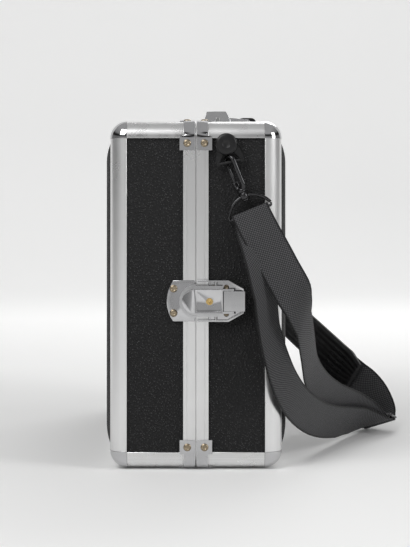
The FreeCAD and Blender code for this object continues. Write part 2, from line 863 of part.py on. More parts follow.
def corner_brace(half):
    """A strip bent round a corner of the seam frames, with a wide head on each leg."""
    brace = new_body(half + "_brace")
    radius = dim.edge_radius
    across = near_plane + radius
    up = frame_bottom + radius
    far = near_plane + dim.brace_leg
    high = frame_bottom + dim.brace_leg
    ground = frame_bottom - dim.brace_sheet
    strip = [
        To(brace_outer, up),
        Arc(across, ground, across, up, 1),
        To(far, ground),
        To(far, frame_bottom),
        To(across, frame_bottom),
        Arc(near_plane, up, across, up, -1),
        To(near_plane, high),
        To(brace_outer, high),
    ]
    pad(brace, "x", brace_start, brace_end, [strip])
    neck_edge = brace_start + dim.brace_neck
    neck_high = high - dim.brace_head_length
    neck_far = far - dim.brace_head_length
    side = rectangle(brace_outer - 1, neck_far, ground - 1, neck_high)
    pocket(brace, "x", neck_edge, brace_end, [side])
    depth = dim.notch_depth
    upright_notch = [
        To(neck_edge, neck_high),
        To(neck_edge - depth, neck_high - depth),
        To(neck_edge, neck_high - depth * 2),
    ]
    pocket(brace, "y", brace_outer, near_plane, [upright_notch])
    level_notch = [
        To(neck_edge, neck_far),
        To(neck_edge - depth, neck_far - depth),
        To(neck_edge, neck_far - depth * 2),
    ]
    pocket(brace, "z", ground, frame_bottom, [level_notch])
    seat = rectangle(brace_start, seam_face + dim.seam_line_place, across, far)
    pad(brace, "z", frame_bottom, frame_bottom + dim.brace_seat, [seat])
    return brace


def brace_rivets(half):
    """A rivet on each upright head of the four braces, and on the level heads of the upper two."""
    low_z = frame_bottom + brace_rivet_place
    face = rivet(half + "_face_rivet", LARGE, "y", brace_rivet_x, low_z, brace_outer, -1)
    across = near_plane + brace_rivet_place
    top_seat = frame_top + dim.brace_sheet
    top = rivet(half + "_top_rivet", LARGE, "z", brace_rivet_x, across, top_seat, 1)
    shapes = [face, mirror(half + "_face_rivet_high", face, "z", middle), top]
    return near_and_far(half + "_brace_rivet_set", group(half + "_rivet_end", shapes))


# Lining
def lining(half):
    """An open tray of padded lining against the inside of the panels."""
    depth = flange_back + dim.lining_room
    outer = rounded_rectangle(
        depth - half_length, half_length - depth,
        frame_bottom + depth, frame_top - depth, dim.edge_radius - depth,
    )
    deep = depth + dim.lining_sheet
    inner = rounded_rectangle(
        deep - half_length, half_length - deep,
        frame_bottom + deep, frame_top - deep, dim.edge_radius - deep,
    )
    tray = new_body(half + "_tray")
    start = seam_face + dim.brace_inset
    pad(tray, "x", start, half_thickness - depth, [outer])
    pocket(tray, "x", start, half_thickness - deep, [inner])
    return tray


# Hinges on the hidden end
knuckle_y = half_length + dim.knuckle_lift + dim.knuckle_radius
hinge_low = middle - dim.hinge_spread / 2 - dim.hinge_height / 2
hinge_middle = middle - dim.hinge_spread / 2
hinge_rivet_x = (dim.knuckle_radius + dim.leaf_width) / 2
KNUCKLES = 3


def hinge_leaf(half, first):
    """A leaf with every second knuckle, from the first one on; the other's places are cut out."""
    leaf = new_body(half + "_leaf")
    high = hinge_low + dim.hinge_height
    back = half_length + dim.leaf_sheet
    inner = dim.knuckle_radius / 2
    plate = rectangle(inner, dim.leaf_width, half_length, back)
    pad(leaf, "z", hinge_low, high, [plate])
    pad(leaf, "z", hinge_low, high, circles=[(0, knuckle_y, dim.knuckle_radius)])
    step = dim.hinge_height / KNUCKLES
    reach = dim.knuckle_radius + dim.knuckle_gap
    clear = rectangle(-reach, reach, half_length - 1, knuckle_y + reach)
    for number in range(1 - first, KNUCKLES, 2):
        low = hinge_low + step * number - dim.knuckle_gap / 2
        pocket(leaf, "z", low, low + step + dim.knuckle_gap, [clear])
    bore = dim.hinge_pin_radius + (dim.hinge_pin_fit if half == "lid" else 0)
    pocket(leaf, "z", hinge_low, high, circles=[(0, knuckle_y, bore)])
    return leaf


def hinge_rivets(half):
    """The rivets on a leaf."""
    seat = half_length + dim.leaf_sheet
    heads = [
        rivet(
            f"{half}_hinge_rivet_{shift + 2}", SMALL, "y", hinge_rivet_x,
            hinge_middle + dim.hinge_rivet_spread * shift, seat, 1,
        )
        for shift in (-1, 0, 1)
    ]
    return both_hinges(half + "_hinge_rivet_set", group(half + "_hinge_rivets_low", heads))


def both_hinges(name, item):
    """A piece of the lower hinge and its image at the upper one."""
    return group(name, [item, mirror(name + "_upper", item, "z", middle)])


# Latch
latch_z = middle - dim.latch_drop
catch_outer = near_plane - dim.catch_sheet
keeper_top = catch_outer - dim.keeper_rise


def catch_plate():
    """The lid's catch plate, stepped down to the panel beyond the frame, with its keeper."""
    plate = new_body("catch")
    half = dim.catch_half
    bow = (half * half + dim.catch_bow * dim.catch_bow) / (dim.catch_bow * 2)
    centre = bow - dim.catch_reach
    corner = dim.catch_bow - dim.catch_reach
    low, high = latch_z - half, latch_z + half

    def outline(right):
        return [
            To(right, low),
            To(right, high),
            To(corner, high),
            Arc(corner, low, centre, latch_z, 1),
        ]

    pad(plate, "y", catch_outer, near_plane, [outline(-dim.catch_gap)])
    step = -(seam_edge + dim.latch_room)
    pad(plate, "y", near_plane, near_plane + dim.panel_recess, [outline(step)])
    keeper = rectangle(
        -dim.keeper_place - dim.keeper_width / 2, -dim.keeper_place + dim.keeper_width / 2,
        latch_z - dim.keeper_half, latch_z + dim.keeper_half,
    )
    pad(plate, "y", keeper_top, catch_outer, [keeper])
    return plate


def two_levels(name, item):
    """A piece below the latch's level and its image above it."""
    return group(name, [item, mirror(name + "_upper", item, "z", latch_z)])


def catch_rivets():
    """Two rivets on the catch plate."""
    low = rivet(
        "catch_rivet", LARGE, "y", -dim.catch_rivet_x, latch_z - dim.catch_rivet_z,
        catch_outer, -1,
    )
    return two_levels("catch_rivet_pair", low)


panel_face = near_plane + dim.panel_recess


def latch_base():
    """A riveted tray with sloped walls, open towards the seam."""
    tray = new_body("latch_tray")
    wall = dim.latch_wall
    rim = near_plane - dim.latch_rise

    def outline(start, inset):
        half = dim.catch_half - inset
        end_half = dim.latch_end_half - inset
        end = dim.latch_end - inset
        shoulder = dim.latch_shoulder - inset / 2
        return [
            To(start, latch_z - half),
            To(shoulder, latch_z - half),
            To(end, latch_z - end_half),
            To(end, latch_z + end_half),
            To(shoulder, latch_z + half),
            To(start, latch_z + half),
        ]

    zero = as_size(0)
    on_panel = seam_edge + dim.latch_room
    floor_top = panel_face - dim.latch_floor
    pad(tray, "y", rim, near_plane - dim.latch_room / 2, [outline(dim.latch_start, zero)])
    pad(tray, "y", near_plane - dim.latch_room / 2, panel_face, [outline(on_panel, zero)])
    past = dim.latch_start - 1
    pocket(tray, "y", rim, near_plane - dim.latch_room / 2, [outline(past, wall)])
    pocket(tray, "y", near_plane - dim.latch_room / 2, floor_top, [outline(on_panel + wall, wall)])
    pins = [(dim.lever_pivot_x, near_plane - dim.lever_pivot_out, dim.latch_pin_radius)]
    low = latch_z - dim.catch_half
    pocket(tray, "z", low, latch_z + dim.catch_half, circles=pins)
    return tray


def latch_base_rivets():
    """Four rivets in the latch base."""
    seat = panel_face - dim.latch_floor
    low = [
        rivet(
            f"latch_rivet_{number}", SMALL, "y", place, latch_z - dim.latch_rivet_z, seat, -1
        )
        for number, place in enumerate((dim.latch_rivet_first, dim.latch_rivet_last), 1)
    ]
    return two_levels("latch_rivet_set", group("latch_rivets_low", low))


lever_y = near_plane - dim.lever_pivot_out
hasp_y = near_plane - dim.hasp_pivot_out


def latch_lever():
    """A finger tongue with a knuckle at each pivot, joined by an arm under the lock box."""
    lever = new_body("lever")
    low, high = latch_z - dim.lever_half, latch_z + dim.lever_half
    outer = near_plane - dim.finger_out
    inner = outer + dim.finger_sheet
    tip = dim.tongue_end
    turned = inner + dim.finger_drop
    lip = dim.finger_sheet * 2
    finger = [
        To(dim.tongue_start, outer),
        To(tip - lip, outer),
        To(tip, outer + dim.finger_drop),
        To(tip, turned),
        To(tip - dim.finger_sheet, turned),
        To(tip - lip - dim.finger_sheet / 2, inner),
        To(dim.tongue_start, inner),
    ]
    pad(lever, "z", low, high, [finger])
    pad(lever, "z", low, high, circles=[(dim.hasp_pivot_x, hasp_y, dim.hasp_knuckle)])
    pad(lever, "z", low, high, circles=[(dim.lever_pivot_x, lever_y, dim.lever_knuckle)])
    arm = [
        To(dim.lever_pivot_x, lever_y - dim.finger_sheet),
        To(dim.tongue_start + dim.finger_sheet, inner),
        To(dim.hasp_pivot_x, inner),
        To(dim.lever_pivot_x, lever_y + dim.finger_sheet / 2),
    ]
    pad(lever, "z", low, high, [arm])
    bore = dim.latch_pin_radius + dim.latch_pin_fit
    bores = [(dim.hasp_pivot_x, hasp_y, bore), (dim.lever_pivot_x, lever_y, bore)]
    pocket(lever, "z", low, high, circles=bores)
    corner = dim.lever_half / 2
    for side in (-1, 1):
        edge = latch_z + side * dim.lever_half
        shape = [
            To(tip, edge),
            To(tip - corner, edge),
            Arc(tip, edge - side * corner, tip - corner, edge - side * corner, -side),
        ]
        pocket(lever, "y", outer, turned, [shape])
    return lever


def latch_hasp():
    """The hasp: a rounded nose over the keeper, the framed lock box, and arms to its pivot."""
    shell = new_body("hasp_shell")
    top = near_plane - dim.hasp_plate_out
    under = top + dim.hasp_sheet
    centre = dim.hasp_nose_x
    back = dim.lock_end

    def nose(inset, end, half):
        radius = dim.hasp_nose - inset
        return [
            To(centre, latch_z - half),
            To(end, latch_z - half),
            To(end, latch_z + half),
            To(centre, latch_z + half),
            To(centre, latch_z + radius),
            Arc(centre, latch_z - radius, centre, latch_z, 1),
        ]

    def cap(inset):
        radius = dim.hasp_nose - inset
        return [
            To(centre, latch_z + radius),
            Arc(centre, latch_z - radius, centre, latch_z, 1),
        ]

    zero = as_size(0)
    pad(shell, "y", top, under, [nose(zero, back, dim.hasp_half)])
    rim_end = keeper_top - dim.latch_room
    pad(shell, "y", under, rim_end, [cap(zero)])
    pocket(shell, "y", under, rim_end, [cap(dim.hasp_rim)])
    inner_rim = dim.hasp_rim + dim.hasp_channel_width
    lock_low, lock_high = latch_z - dim.lock_half, latch_z + dim.lock_half
    pad(shell, "y", near_plane - dim.lock_out, top,
        [rectangle(dim.lock_start, dim.lock_end, lock_low, lock_high)])
    pocket(shell, "y", top, top + dim.hasp_channel, [channel_outline(centre, inner_rim)])
    frame = dim.lock_frame
    face = rectangle(dim.lock_start + frame, dim.lock_end - frame,
                     lock_low + frame, lock_high - frame)
    pocket(shell, "y", near_plane - dim.lock_out,
           near_plane - dim.lock_out + dim.lock_recess, [face])
    wall = dim.lock_wall
    roof = near_plane - dim.lock_out + dim.lock_roof
    hollow = rectangle(dim.lock_start + wall, dim.lock_end - wall, lock_low + wall, lock_high - wall)
    pocket(shell, "y", roof, under, [hollow])
    gate = near_plane - dim.finger_out - dim.latch_room
    open_end = rectangle(dim.lock_end - wall - 1, dim.lock_end,
                         lock_low + wall, lock_high - wall)
    pocket(shell, "y", gate, under, [open_end])
    bore = [(dim.key_x, latch_z, dim.key_radius + dim.key_fit)]
    pocket(shell, "y", near_plane - dim.lock_out, roof, circles=bore)
    arms = hasp_arm()
    wedge = hasp_wedge(top)
    return join("hasp", [shell, wedge, arms])


def channel_outline(centre, inner_rim):
    """The half ring of the channel inside the nose's rim."""
    outer = dim.hasp_nose - dim.hasp_rim
    inner = dim.hasp_nose - inner_rim
    return [
        To(centre, latch_z + outer),
        Arc(centre, latch_z - outer, centre, latch_z, 1),
        To(centre, latch_z - inner),
        Arc(centre, latch_z + inner, centre, latch_z, -1),
    ]


def hasp_wedge(top):
    """The pointed wedge that slopes from the nose up to the lock box."""
    face = near_plane - dim.lock_out
    slope = new_body("hasp_slope")
    half = dim.lock_half
    outline = [
        To(dim.lock_start, face + dim.lock_recess),
        To(dim.lock_start, top),
        To(dim.wedge_start, top),
    ]
    pad(slope, "z", latch_z - half, latch_z + half, [outline])
    arch = new_body("hasp_arch")
    run = dim.lock_start - dim.wedge_start
    bow = (run * run + half * half) / (half * 2)
    outline = [
        To(dim.lock_start, latch_z + half),
        Arc(dim.wedge_start, latch_z, dim.lock_start, latch_z + half - bow, 1),
        Arc(dim.lock_start, latch_z - half, dim.lock_start, latch_z - half + bow, 1),
    ]
    pad(arch, "y", face, top, [outline])
    wedge = doc.addObject("Part::Common", "hasp_wedge")
    wedge.Base = slope
    wedge.Tool = arch
    return wedge


def hasp_arm():
    """The two arms that carry the hasp on its pivot."""
    arm = new_body("hasp_arm")
    inner = dim.lever_half + dim.latch_room
    outer = inner + dim.finger_sheet
    low, high = latch_z - outer, latch_z - inner
    radius = dim.hasp_knuckle
    outline = [
        To(dim.hasp_pivot_x, hasp_y - radius),
        Arc(dim.hasp_pivot_x, hasp_y + radius, dim.hasp_pivot_x, hasp_y, 1),
        To(dim.lock_end - dim.finger_sheet, hasp_y + dim.hasp_sheet),
        To(dim.lock_end - dim.finger_sheet, hasp_y - radius),
    ]
    pad(arm, "z", low, high, [outline])
    pin = [(dim.hasp_pivot_x, hasp_y, dim.latch_pin_radius)]
    pocket(arm, "z", low, high, circles=pin)
    return two_levels("hasp_arms", arm)


def latch_pins():
    """The lever's pin in the base and the hasp's pin through the lever."""
    reach = dim.catch_half - dim.latch_wall / 2
    lever_pin = cylinder(
        "lever_pivot", "z", latch_z - reach, latch_z + reach,
        dim.lever_pivot_x, lever_y, dim.latch_pin_radius,
    )
    reach = dim.lever_half + dim.latch_room + dim.finger_sheet
    hasp_pin = cylinder(
        "hasp_pivot", "z", latch_z - reach, latch_z + reach,
        dim.hasp_pivot_x, hasp_y, dim.latch_pin_radius,
    )
    return lever_pin, hasp_pin


def key_cylinder():
    """The lock's cylinder with its keyhole."""
    face = near_plane - dim.lock_out + dim.lock_recess - dim.key_proud
    core = new_body("key_core")
    pad(core, "y", face, face + dim.key_length, circles=[(dim.key_x, latch_z, dim.key_radius)])
    half = dim.keyhole_width / 2
    slot = rectangle(
        dim.key_x - half, dim.key_x + half,
        latch_z - dim.keyhole_half, latch_z + dim.keyhole_half,
    )
    pocket(core, "y", face, face + dim.keyhole_depth, [slot])
    return core


# Handle
handle_z = frame_top + dim.handle_level
top_panel_z = frame_top - dim.panel_recess
arm_half = dim.arm_sheet / 2


def handle_bracket():
    """A cast bracket with a slot for the arm and a foot at each end."""
    bracket = new_body("bracket")
    centre = -dim.bracket_place
    low_y, high_y = centre - dim.bracket_half, centre + dim.bracket_half
    shoulder = frame_top + dim.bracket_shoulder
    top = frame_top + dim.bracket_top
    over = frame_top + dim.brace_inset
    outline = [
        To(dim.bracket_foot, top_panel_z),
        To(dim.bracket_end, top_panel_z),
        To(dim.bracket_end, shoulder),
        To(dim.bracket_top_end, top),
        To(dim.bracket_top_start, top),
        To(dim.bracket_start, shoulder),
        To(dim.bracket_start, over),
        To(dim.bracket_foot, over),
    ]
    pad(bracket, "y", low_y, high_y, [outline])
    feet = rectangle(
        dim.bracket_foot, dim.bracket_end,
        low_y - dim.bracket_ear, high_y + dim.bracket_ear,
    )
    pad(bracket, "z", top_panel_z, top_panel_z + dim.ear_sheet, [feet])
    slot_half = arm_half + dim.arm_room
    slot = rectangle(
        dim.arm_slot_start, dim.bracket_end, frame_top + dim.arm_slot_low, top
    )
    pocket(bracket, "y", centre - slot_half, centre + slot_half, [slot])
    pin = [(dim.handle_x, handle_z, dim.handle_pin)]
    pocket(bracket, "y", low_y, high_y, circles=pin)
    return near_and_far("bracket_pair", bracket)


def handle_pins():
    """The two pivot pins of the handle, pressed in the brackets."""
    centre = -dim.bracket_place
    pin = cylinder(
        "handle_pivot", "y", centre - dim.bracket_half, centre + dim.bracket_half,
        dim.handle_x, handle_z, dim.handle_pin,
    )
    return near_and_far("handle_pivot_pair", pin)


grip_x = dim.handle_x + dim.handle_reach
grip_z = handle_z - dim.handle_sag


def handle_bail():
    """The steel bail: two arms and the bar between them inside the grip."""
    arm = new_body("bail_arm")
    half = dim.arm_width / 2
    centre = -dim.bracket_place
    rise = dim.handle_sag / dim.handle_reach
    length = root(rise * rise + 1)
    side_x = half * rise / length
    side_z = half / length
    outline = [
        To(grip_x - side_x, grip_z - side_z),
        Arc(grip_x + side_x, grip_z + side_z, grip_x, grip_z, 1),
        To(dim.handle_x + side_x, handle_z + side_z),
        Arc(dim.handle_x - side_x, handle_z - side_z, dim.handle_x, handle_z, 1),
    ]
    pad(arm, "y", centre - arm_half, centre + arm_half, [outline])
    bore = dim.handle_pin + dim.handle_pin_fit
    hole = [(dim.handle_x, handle_z, bore)]
    pocket(arm, "y", centre - arm_half, centre + arm_half, circles=hole)
    bar = cylinder("bail_rod", "y", centre, dim.bracket_place, grip_x, grip_z, dim.bail_bar)
    return join("bail", [near_and_far("bail_arm_pair", arm), bar])


def handle_grip():
    """The padded grip round the bar."""
    grip = new_body("grip")
    reach = dim.bracket_place - arm_half - dim.grip_gap
    wide = dim.grip_width / 2
    high = dim.grip_height / 2
    outline = rounded_rectangle(
        grip_x - wide, grip_x + wide, grip_z - high, grip_z + high, dim.grip_corner
    )
    pad(grip, "y", -reach, reach, [outline])
    pocket(grip, "y", -reach, reach, circles=[(grip_x, grip_z, dim.bail_bar)])
    return grip


# Strap anchors: a round post and cap on each end face, and a loop that swivels on it
anchor_z = frame_top - dim.anchor_drop
anchor_back = panel_face - dim.anchor_base_rise
loop_front = anchor_back - dim.anchor_play - dim.anchor_loop_sheet
cap_back = loop_front - dim.anchor_play
cap_front = cap_back - dim.anchor_cap_sheet


def strap_anchor():
    """The post of the near anchor: base, stem and bevelled cap."""
    post = new_body("anchor_post")
    x = dim.anchor_x
    edge = dim.anchor_cap_sheet / 2
    outline = [
        To(x, panel_face),
        To(x + dim.anchor_base, panel_face),
        To(x + dim.anchor_base, anchor_back),
        To(x + dim.anchor_stem, anchor_back),
        To(x + dim.anchor_stem, cap_back),
        To(x + dim.anchor_cap, cap_back),
        To(x + dim.anchor_cap, cap_back - edge),
        To(x + dim.anchor_cap - edge, cap_front),
        To(x, cap_front),
    ]
    revolve(post, "z", anchor_z, outline, (x, panel_face))
    return post


def anchor_loop():
    """The near anchor's loop: a round head on the stem and a wide window above its bar."""
    loop = new_body("anchor_loop")
    window = dim.loop_window
    outer = window + dim.loop_side
    low = -(dim.loop_bar_place + dim.loop_bar + dim.loop_lip)
    high = -(dim.loop_bar_place - dim.loop_bar)
    head = dim.loop_head
    corner = dim.loop_corner
    front, back = loop_front, loop_front + dim.anchor_loop_sheet
    body = [
        To(-outer, high + corner),
        To(-outer, low + corner),
        Arc(-outer + corner, low, -outer + corner, low + corner, 1),
        To(outer - corner, low),
        Arc(outer, low + corner, outer - corner, low + corner, 1),
        To(outer, high + corner),
        To(head, 0),
        Arc(-head, 0, 0, 0, 1),
    ]
    pad(loop, "y", front, back, [body])
    bore = dim.anchor_stem + dim.anchor_fit
    pocket(loop, "y", front, back, circles=[(0, 0, bore)])
    top = -(bore + dim.loop_side)
    opening = [
        To(-window, low - corner),
        To(window, low - corner),
        To(window, high),
        To(bore, top),
        To(-bore, top),
        To(-window, high),
    ]
    pocket(loop, "y", front, back, [opening])
    rod_end = outer - dim.loop_bar
    rod = cylinder(
        "anchor_loop_rod", "x", -rod_end, rod_end, (front + back) / 2, -dim.loop_bar_place, dim.loop_bar
    )
    loop = join("anchor_loop_whole", [loop, rod])
    loop.Placement = Placement(
        Vector(dim.anchor_x.value, 0, anchor_z.value),
        Rotation(Vector(0, 1, 0), -dim.loop_tilt.value),
    )
    return loop


# Snap hooks. In a hook's own frame its axis runs up along Z and its gate stands on the +X side
boss_start = dim.hook_spine + dim.hook_eye + dim.collar_length + dim.anchor_play
boss_end = boss_start + dim.swivel_length
hook_down = Vector(math.sin(math.radians(dim.hook_tilt.value)), 0,
                   -math.cos(math.radians(dim.hook_tilt.value)))
hook_across = Vector(-hook_down.z, 0, hook_down.x)
loop_middle = (loop_front + dim.anchor_loop_sheet / 2).value


def eye_centre():
    """The centre of the near hook's eye, hung on the bar of the anchor's loop."""
    tilt = math.radians(dim.loop_tilt.value)
    reach = dim.loop_bar_place.value
    bar = Vector(
        dim.anchor_x.value + reach * math.sin(tilt), loop_middle,
        anchor_z.value - reach * math.cos(tilt),
    )
    return bar + hook_down * dim.hook_hang.value


def hook_placement():
    """The place of the near hook: its axis along the pull, its gate turned towards the case."""
    turn = math.radians(dim.hook_turn.value)
    gate_side = -hook_across * math.cos(turn) + Vector(0, 1, 0) * math.sin(turn)
    up = -hook_down
    side = up.cross(gate_side)
    matrix = FreeCAD.Matrix(
        gate_side.x, side.x, up.x, 0,
        gate_side.y, side.y, up.y, 0,
        gate_side.z, side.z, up.z, 0,
        0, 0, 0, 1,
    )
    place = Placement(matrix)
    place.Base = eye_centre()
    return place


def hook_body():
    """The near hook: eye, spine and bow in one flat bar, ears for the gate, collar and stem."""
    bar = new_body("hook_bar")
    outer, inner = dim.hook_eye + dim.hook_wire, dim.hook_eye - dim.hook_wire
    spine = dim.hook_spine
    outline = [
        To(outer, 0),
        Arc(-outer, 0, 0, 0, 1),
        To(-outer, -spine),
        Arc(outer, -spine, 0, -spine, 1),
        To(inner, -spine),
        Arc(-inner, -spine, 0, -spine, -1),
        To(-inner, 0),
        Arc(inner, 0, 0, 0, -1),
    ]
    pad(bar, "y", -dim.hook_half, dim.hook_half, [outline])
    ears = new_body("hook_ears")
    slot = dim.gate_half + dim.gate_fit
    reach = slot + dim.ear_thick
    left, right = dim.hook_eye - dim.gate_wire, dim.hook_eye + dim.gate_wire
    root = -spine - dim.gate_wire
    block = [To(left, root), To(right, root), To(right, -spine), To(left, -spine)]
    pad(ears, "y", -reach, reach, [block])
    ear = [
        To(left, -spine),
        To(right, -spine),
        To(right, -dim.gate_pivot),
        Arc(left, -dim.gate_pivot, dim.hook_eye, -dim.gate_pivot, 1),
    ]
    pad(ears, "y", slot, reach, [ear])
    pad(ears, "y", -reach, -slot, [ear])
    pin = cylinder(
        "hook_gate_pin", "y", -reach, reach, dim.hook_eye, -dim.gate_pivot, dim.gate_pin
    )
    start = spine + dim.hook_eye
    end = boss_end + dim.anchor_play
    collar_end = -start - dim.collar_length
    collar = cylinder("hook_collar", "z", collar_end, -start, 0, 0, dim.swivel_radius)
    stem = cylinder("hook_stem", "z", -end, -start, 0, 0, dim.stem_radius)
    head_end = -end - dim.stem_radius
    head = cylinder("hook_stem_head", "z", head_end, -end, 0, 0, dim.stem_head)
    hook = join("hook_whole", [bar, ears, pin, collar, stem, head])
    hook.Placement = hook_placement()
    return hook


def hook_gate():
    """The near hook's sprung gate: a bar rounded about its pin."""
    gate = new_body("gate_bar")
    left, right = dim.hook_eye - dim.gate_wire, dim.hook_eye + dim.gate_wire
    outline = [
        To(right, -dim.gate_top),
        To(left, -dim.gate_top),
        To(left, -dim.gate_pivot),
        Arc(right, -dim.gate_pivot, dim.hook_eye, -dim.gate_pivot, 1),
    ]
    pad(gate, "y", -dim.gate_half, dim.gate_half, [outline])
    bore = [(dim.hook_eye, -dim.gate_pivot, dim.gate_pin + dim.gate_fit)]
    pocket(gate, "y", -dim.gate_half, dim.gate_half, circles=bore)
    gate.Placement = hook_placement()
    return gate


def strap_ring():
    """The near hook's strap ring, cast with the boss that its stem turns in."""
    length, end = dim.swivel_length.value, boss_end.value
    half, wire = dim.ring_half.value, dim.ring_wire.value
    low = -dim.ring_bar_place.value
    crown = -end + length / 2
    rise = crown - low - dim.ring_side.value
    arch = (half ** 2 + rise ** 2) / (rise * 2)

    def field(margin):
        disc = Part.makeCylinder(
            arch + margin, wire * 2, Vector(0, -wire, crown - arch), Vector(0, 1, 0)
        )
        box = Part.makeBox(
            (half + margin) * 2, wire * 2, -low, Vector(-half - margin, -wire, low - margin)
        )
        return disc.common(box)

    boss = Part.makeCylinder(dim.swivel_radius.value, length, Vector(0, 0, -end))
    bore = Part.makeCylinder(
        dim.stem_radius.value + dim.stem_fit.value, length * 2, Vector(0, 0, -end - length / 2)
    )
    ring = doc.addObject("Part::Feature", "ring_near")
    ring.Shape = field(wire).cut(field(-wire)).fuse(boss).cut(bore).removeSplitter()
    ring.Placement = ring_placement()
    return ring


def ring_placement():
    """The place of the near strap ring, flat to the end face."""
    place = hook_placement()
    up = -hook_down
    matrix = FreeCAD.Matrix(
        hook_across.x, 0, up.x, 0,
        hook_across.y, 1, up.y, 0,
        hook_across.z, 0, up.z, 0,
        0, 0, 0, 1,
    )
    flat = Placement(matrix)
    flat.Base = place.Base
    return flat


def far_image(name, item):
    """The image of a near piece at the far end."""
    return mirror(name, item, "y")


# Strap
class Station:
    """A place along the strap, with the direction of the webbing's width."""

    def __init__(self, x, y, z, wide_x, wide_y, wide_z):
        self.point = Vector(x, y, z)
        self.wide = Vector(wide_x, wide_y, wide_z)


# The front strand, from the near strap ring down to the slider
FRONT_ROUTE = [
    Station(62, -242, 237, 0.92, 0.00, 0.40),
    Station(73, -245, 217, 0.91, 0.00, 0.41),
    Station(83, -249, 198, 0.91, 0.00, 0.41),
    Station(93, -251, 180, 0.89, 0.03, 0.43),
    Station(100, -246, 164, 0.58, 0.38, 0.70),
    Station(106, -235, 145, 0.34, 0.50, 0.78),
    Station(111, -214, 121, 0.34, 0.44, 0.82),
    Station(118, -172, 90, 0.32, 0.40, 0.85),
    Station(132, -130, 67, 0.32, 0.34, 0.87),
    Station(150, -88, 50, 0.36, 0.24, 0.88),
    Station(171, -46, 37, 0.48, 0.04, 0.84),
    Station(188, -17, 25, 0.66, -0.22, 0.66),
]
# The back strand, from the near strap ring down to the slider
BACK_ROUTE = [
    Station(58, -237, 236, 0.92, 0.05, 0.37),
    Station(62, -241, 222, 0.86, 0.28, 0.36),
    Station(65, -246, 200, 0.74, 0.55, 0.25),
    Station(68, -249, 170, 0.58, 0.78, 0.10),
    Station(71, -249, 143, 0.54, 0.78, 0.18),
    Station(77, -247, 117, 0.52, 0.68, 0.42),
    Station(86, -236, 90, 0.50, 0.50, 0.66),
    Station(99, -210, 66, 0.50, 0.36, 0.76),
    Station(118, -166, 45, 0.50, 0.26, 0.82),
    Station(137, -118, 32, 0.48, 0.22, 0.84),
    Station(158, -70, 24, 0.50, 0.16, 0.83),
    Station(180, -27, 19, 0.62, -0.10, 0.72),
]
SLIDER = Station(205, 14, 12.5, 0.80, -0.45, 0.36)
# From the slider up to the shoulder pad
RISE_ROUTE = [
    Station(211, 34, 10, 0.85, -0.40, 0.30),
    Station(213, 46, 19, 0.80, -0.30, 0.50),
    Station(205, 53, 38, 0.74, -0.15, 0.62),
    Station(195, 58, 50, 0.62, -0.10, 0.74),
]
# Middle line of the shoulder pad, from its low end behind the case to its high end
PAD_ROUTE = [
    Station(184, 64, 58, 0.52, -0.10, 0.84),
    Station(170, 96, 69, 0.50, -0.10, 0.86),
    Station(156, 130, 81, 0.50, -0.10, 0.86),
    Station(141, 167, 94, 0.50, -0.10, 0.86),
    Station(125, 204, 108, 0.52, -0.08, 0.85),
    Station(107, 236, 128, 0.56, -0.04, 0.82),
    Station(93, 252, 150, 0.62, 0.00, 0.78),
]
# From the shoulder pad to the far strap ring
TAIL_ROUTE = [
    Station(83, 258, 172, 0.72, 0.02, 0.68),
    Station(72, 256, 198, 0.82, 0.02, 0.56),
    Station(63, 248, 224, 0.90, 0.00, 0.44),
]


# The angles of a fold round a bar, from one side over it to the other
TURNS = [math.radians(90), math.radians(45), 0, math.radians(-45), math.radians(-90)]
COS_EIGHTH = math.cos(math.radians(45))


def frames(stations):
    """Tangent, width and normal of each station."""
    result = []
    for number, station in enumerate(stations):
        before = stations[max(number - 1, 0)].point
        after = stations[min(number + 1, len(stations) - 1)].point
        along = (after - before).normalize()
        wide = station.wide - along * station.wide.dot(along)
        wide.normalize()
        result.append((station.point, along, wide, along.cross(wide)))
    return result


def band_section(centre, wide, up, width, thickness):
    """The rectangular section of a band."""
    side, rise = wide * (width / 2), up * (thickness / 2)
    corners = [centre - side - rise, centre + side - rise, centre + side + rise,
               centre - side + rise]
    return Part.makePolygon(corners + corners[:1])


def slider_frame():
    """Place, tangent, width and normal of the slider."""
    return frames([FRONT_ROUTE[-1], SLIDER, RISE_ROUTE[0]])[1]


def ring_bar(side):
    """The middle of a strap ring's bar: side -1 near, +1 far."""
    bar = eye_centre() + hook_down * dim.ring_bar_place.value
    return Vector(bar.x, -side * bar.y, bar.z)


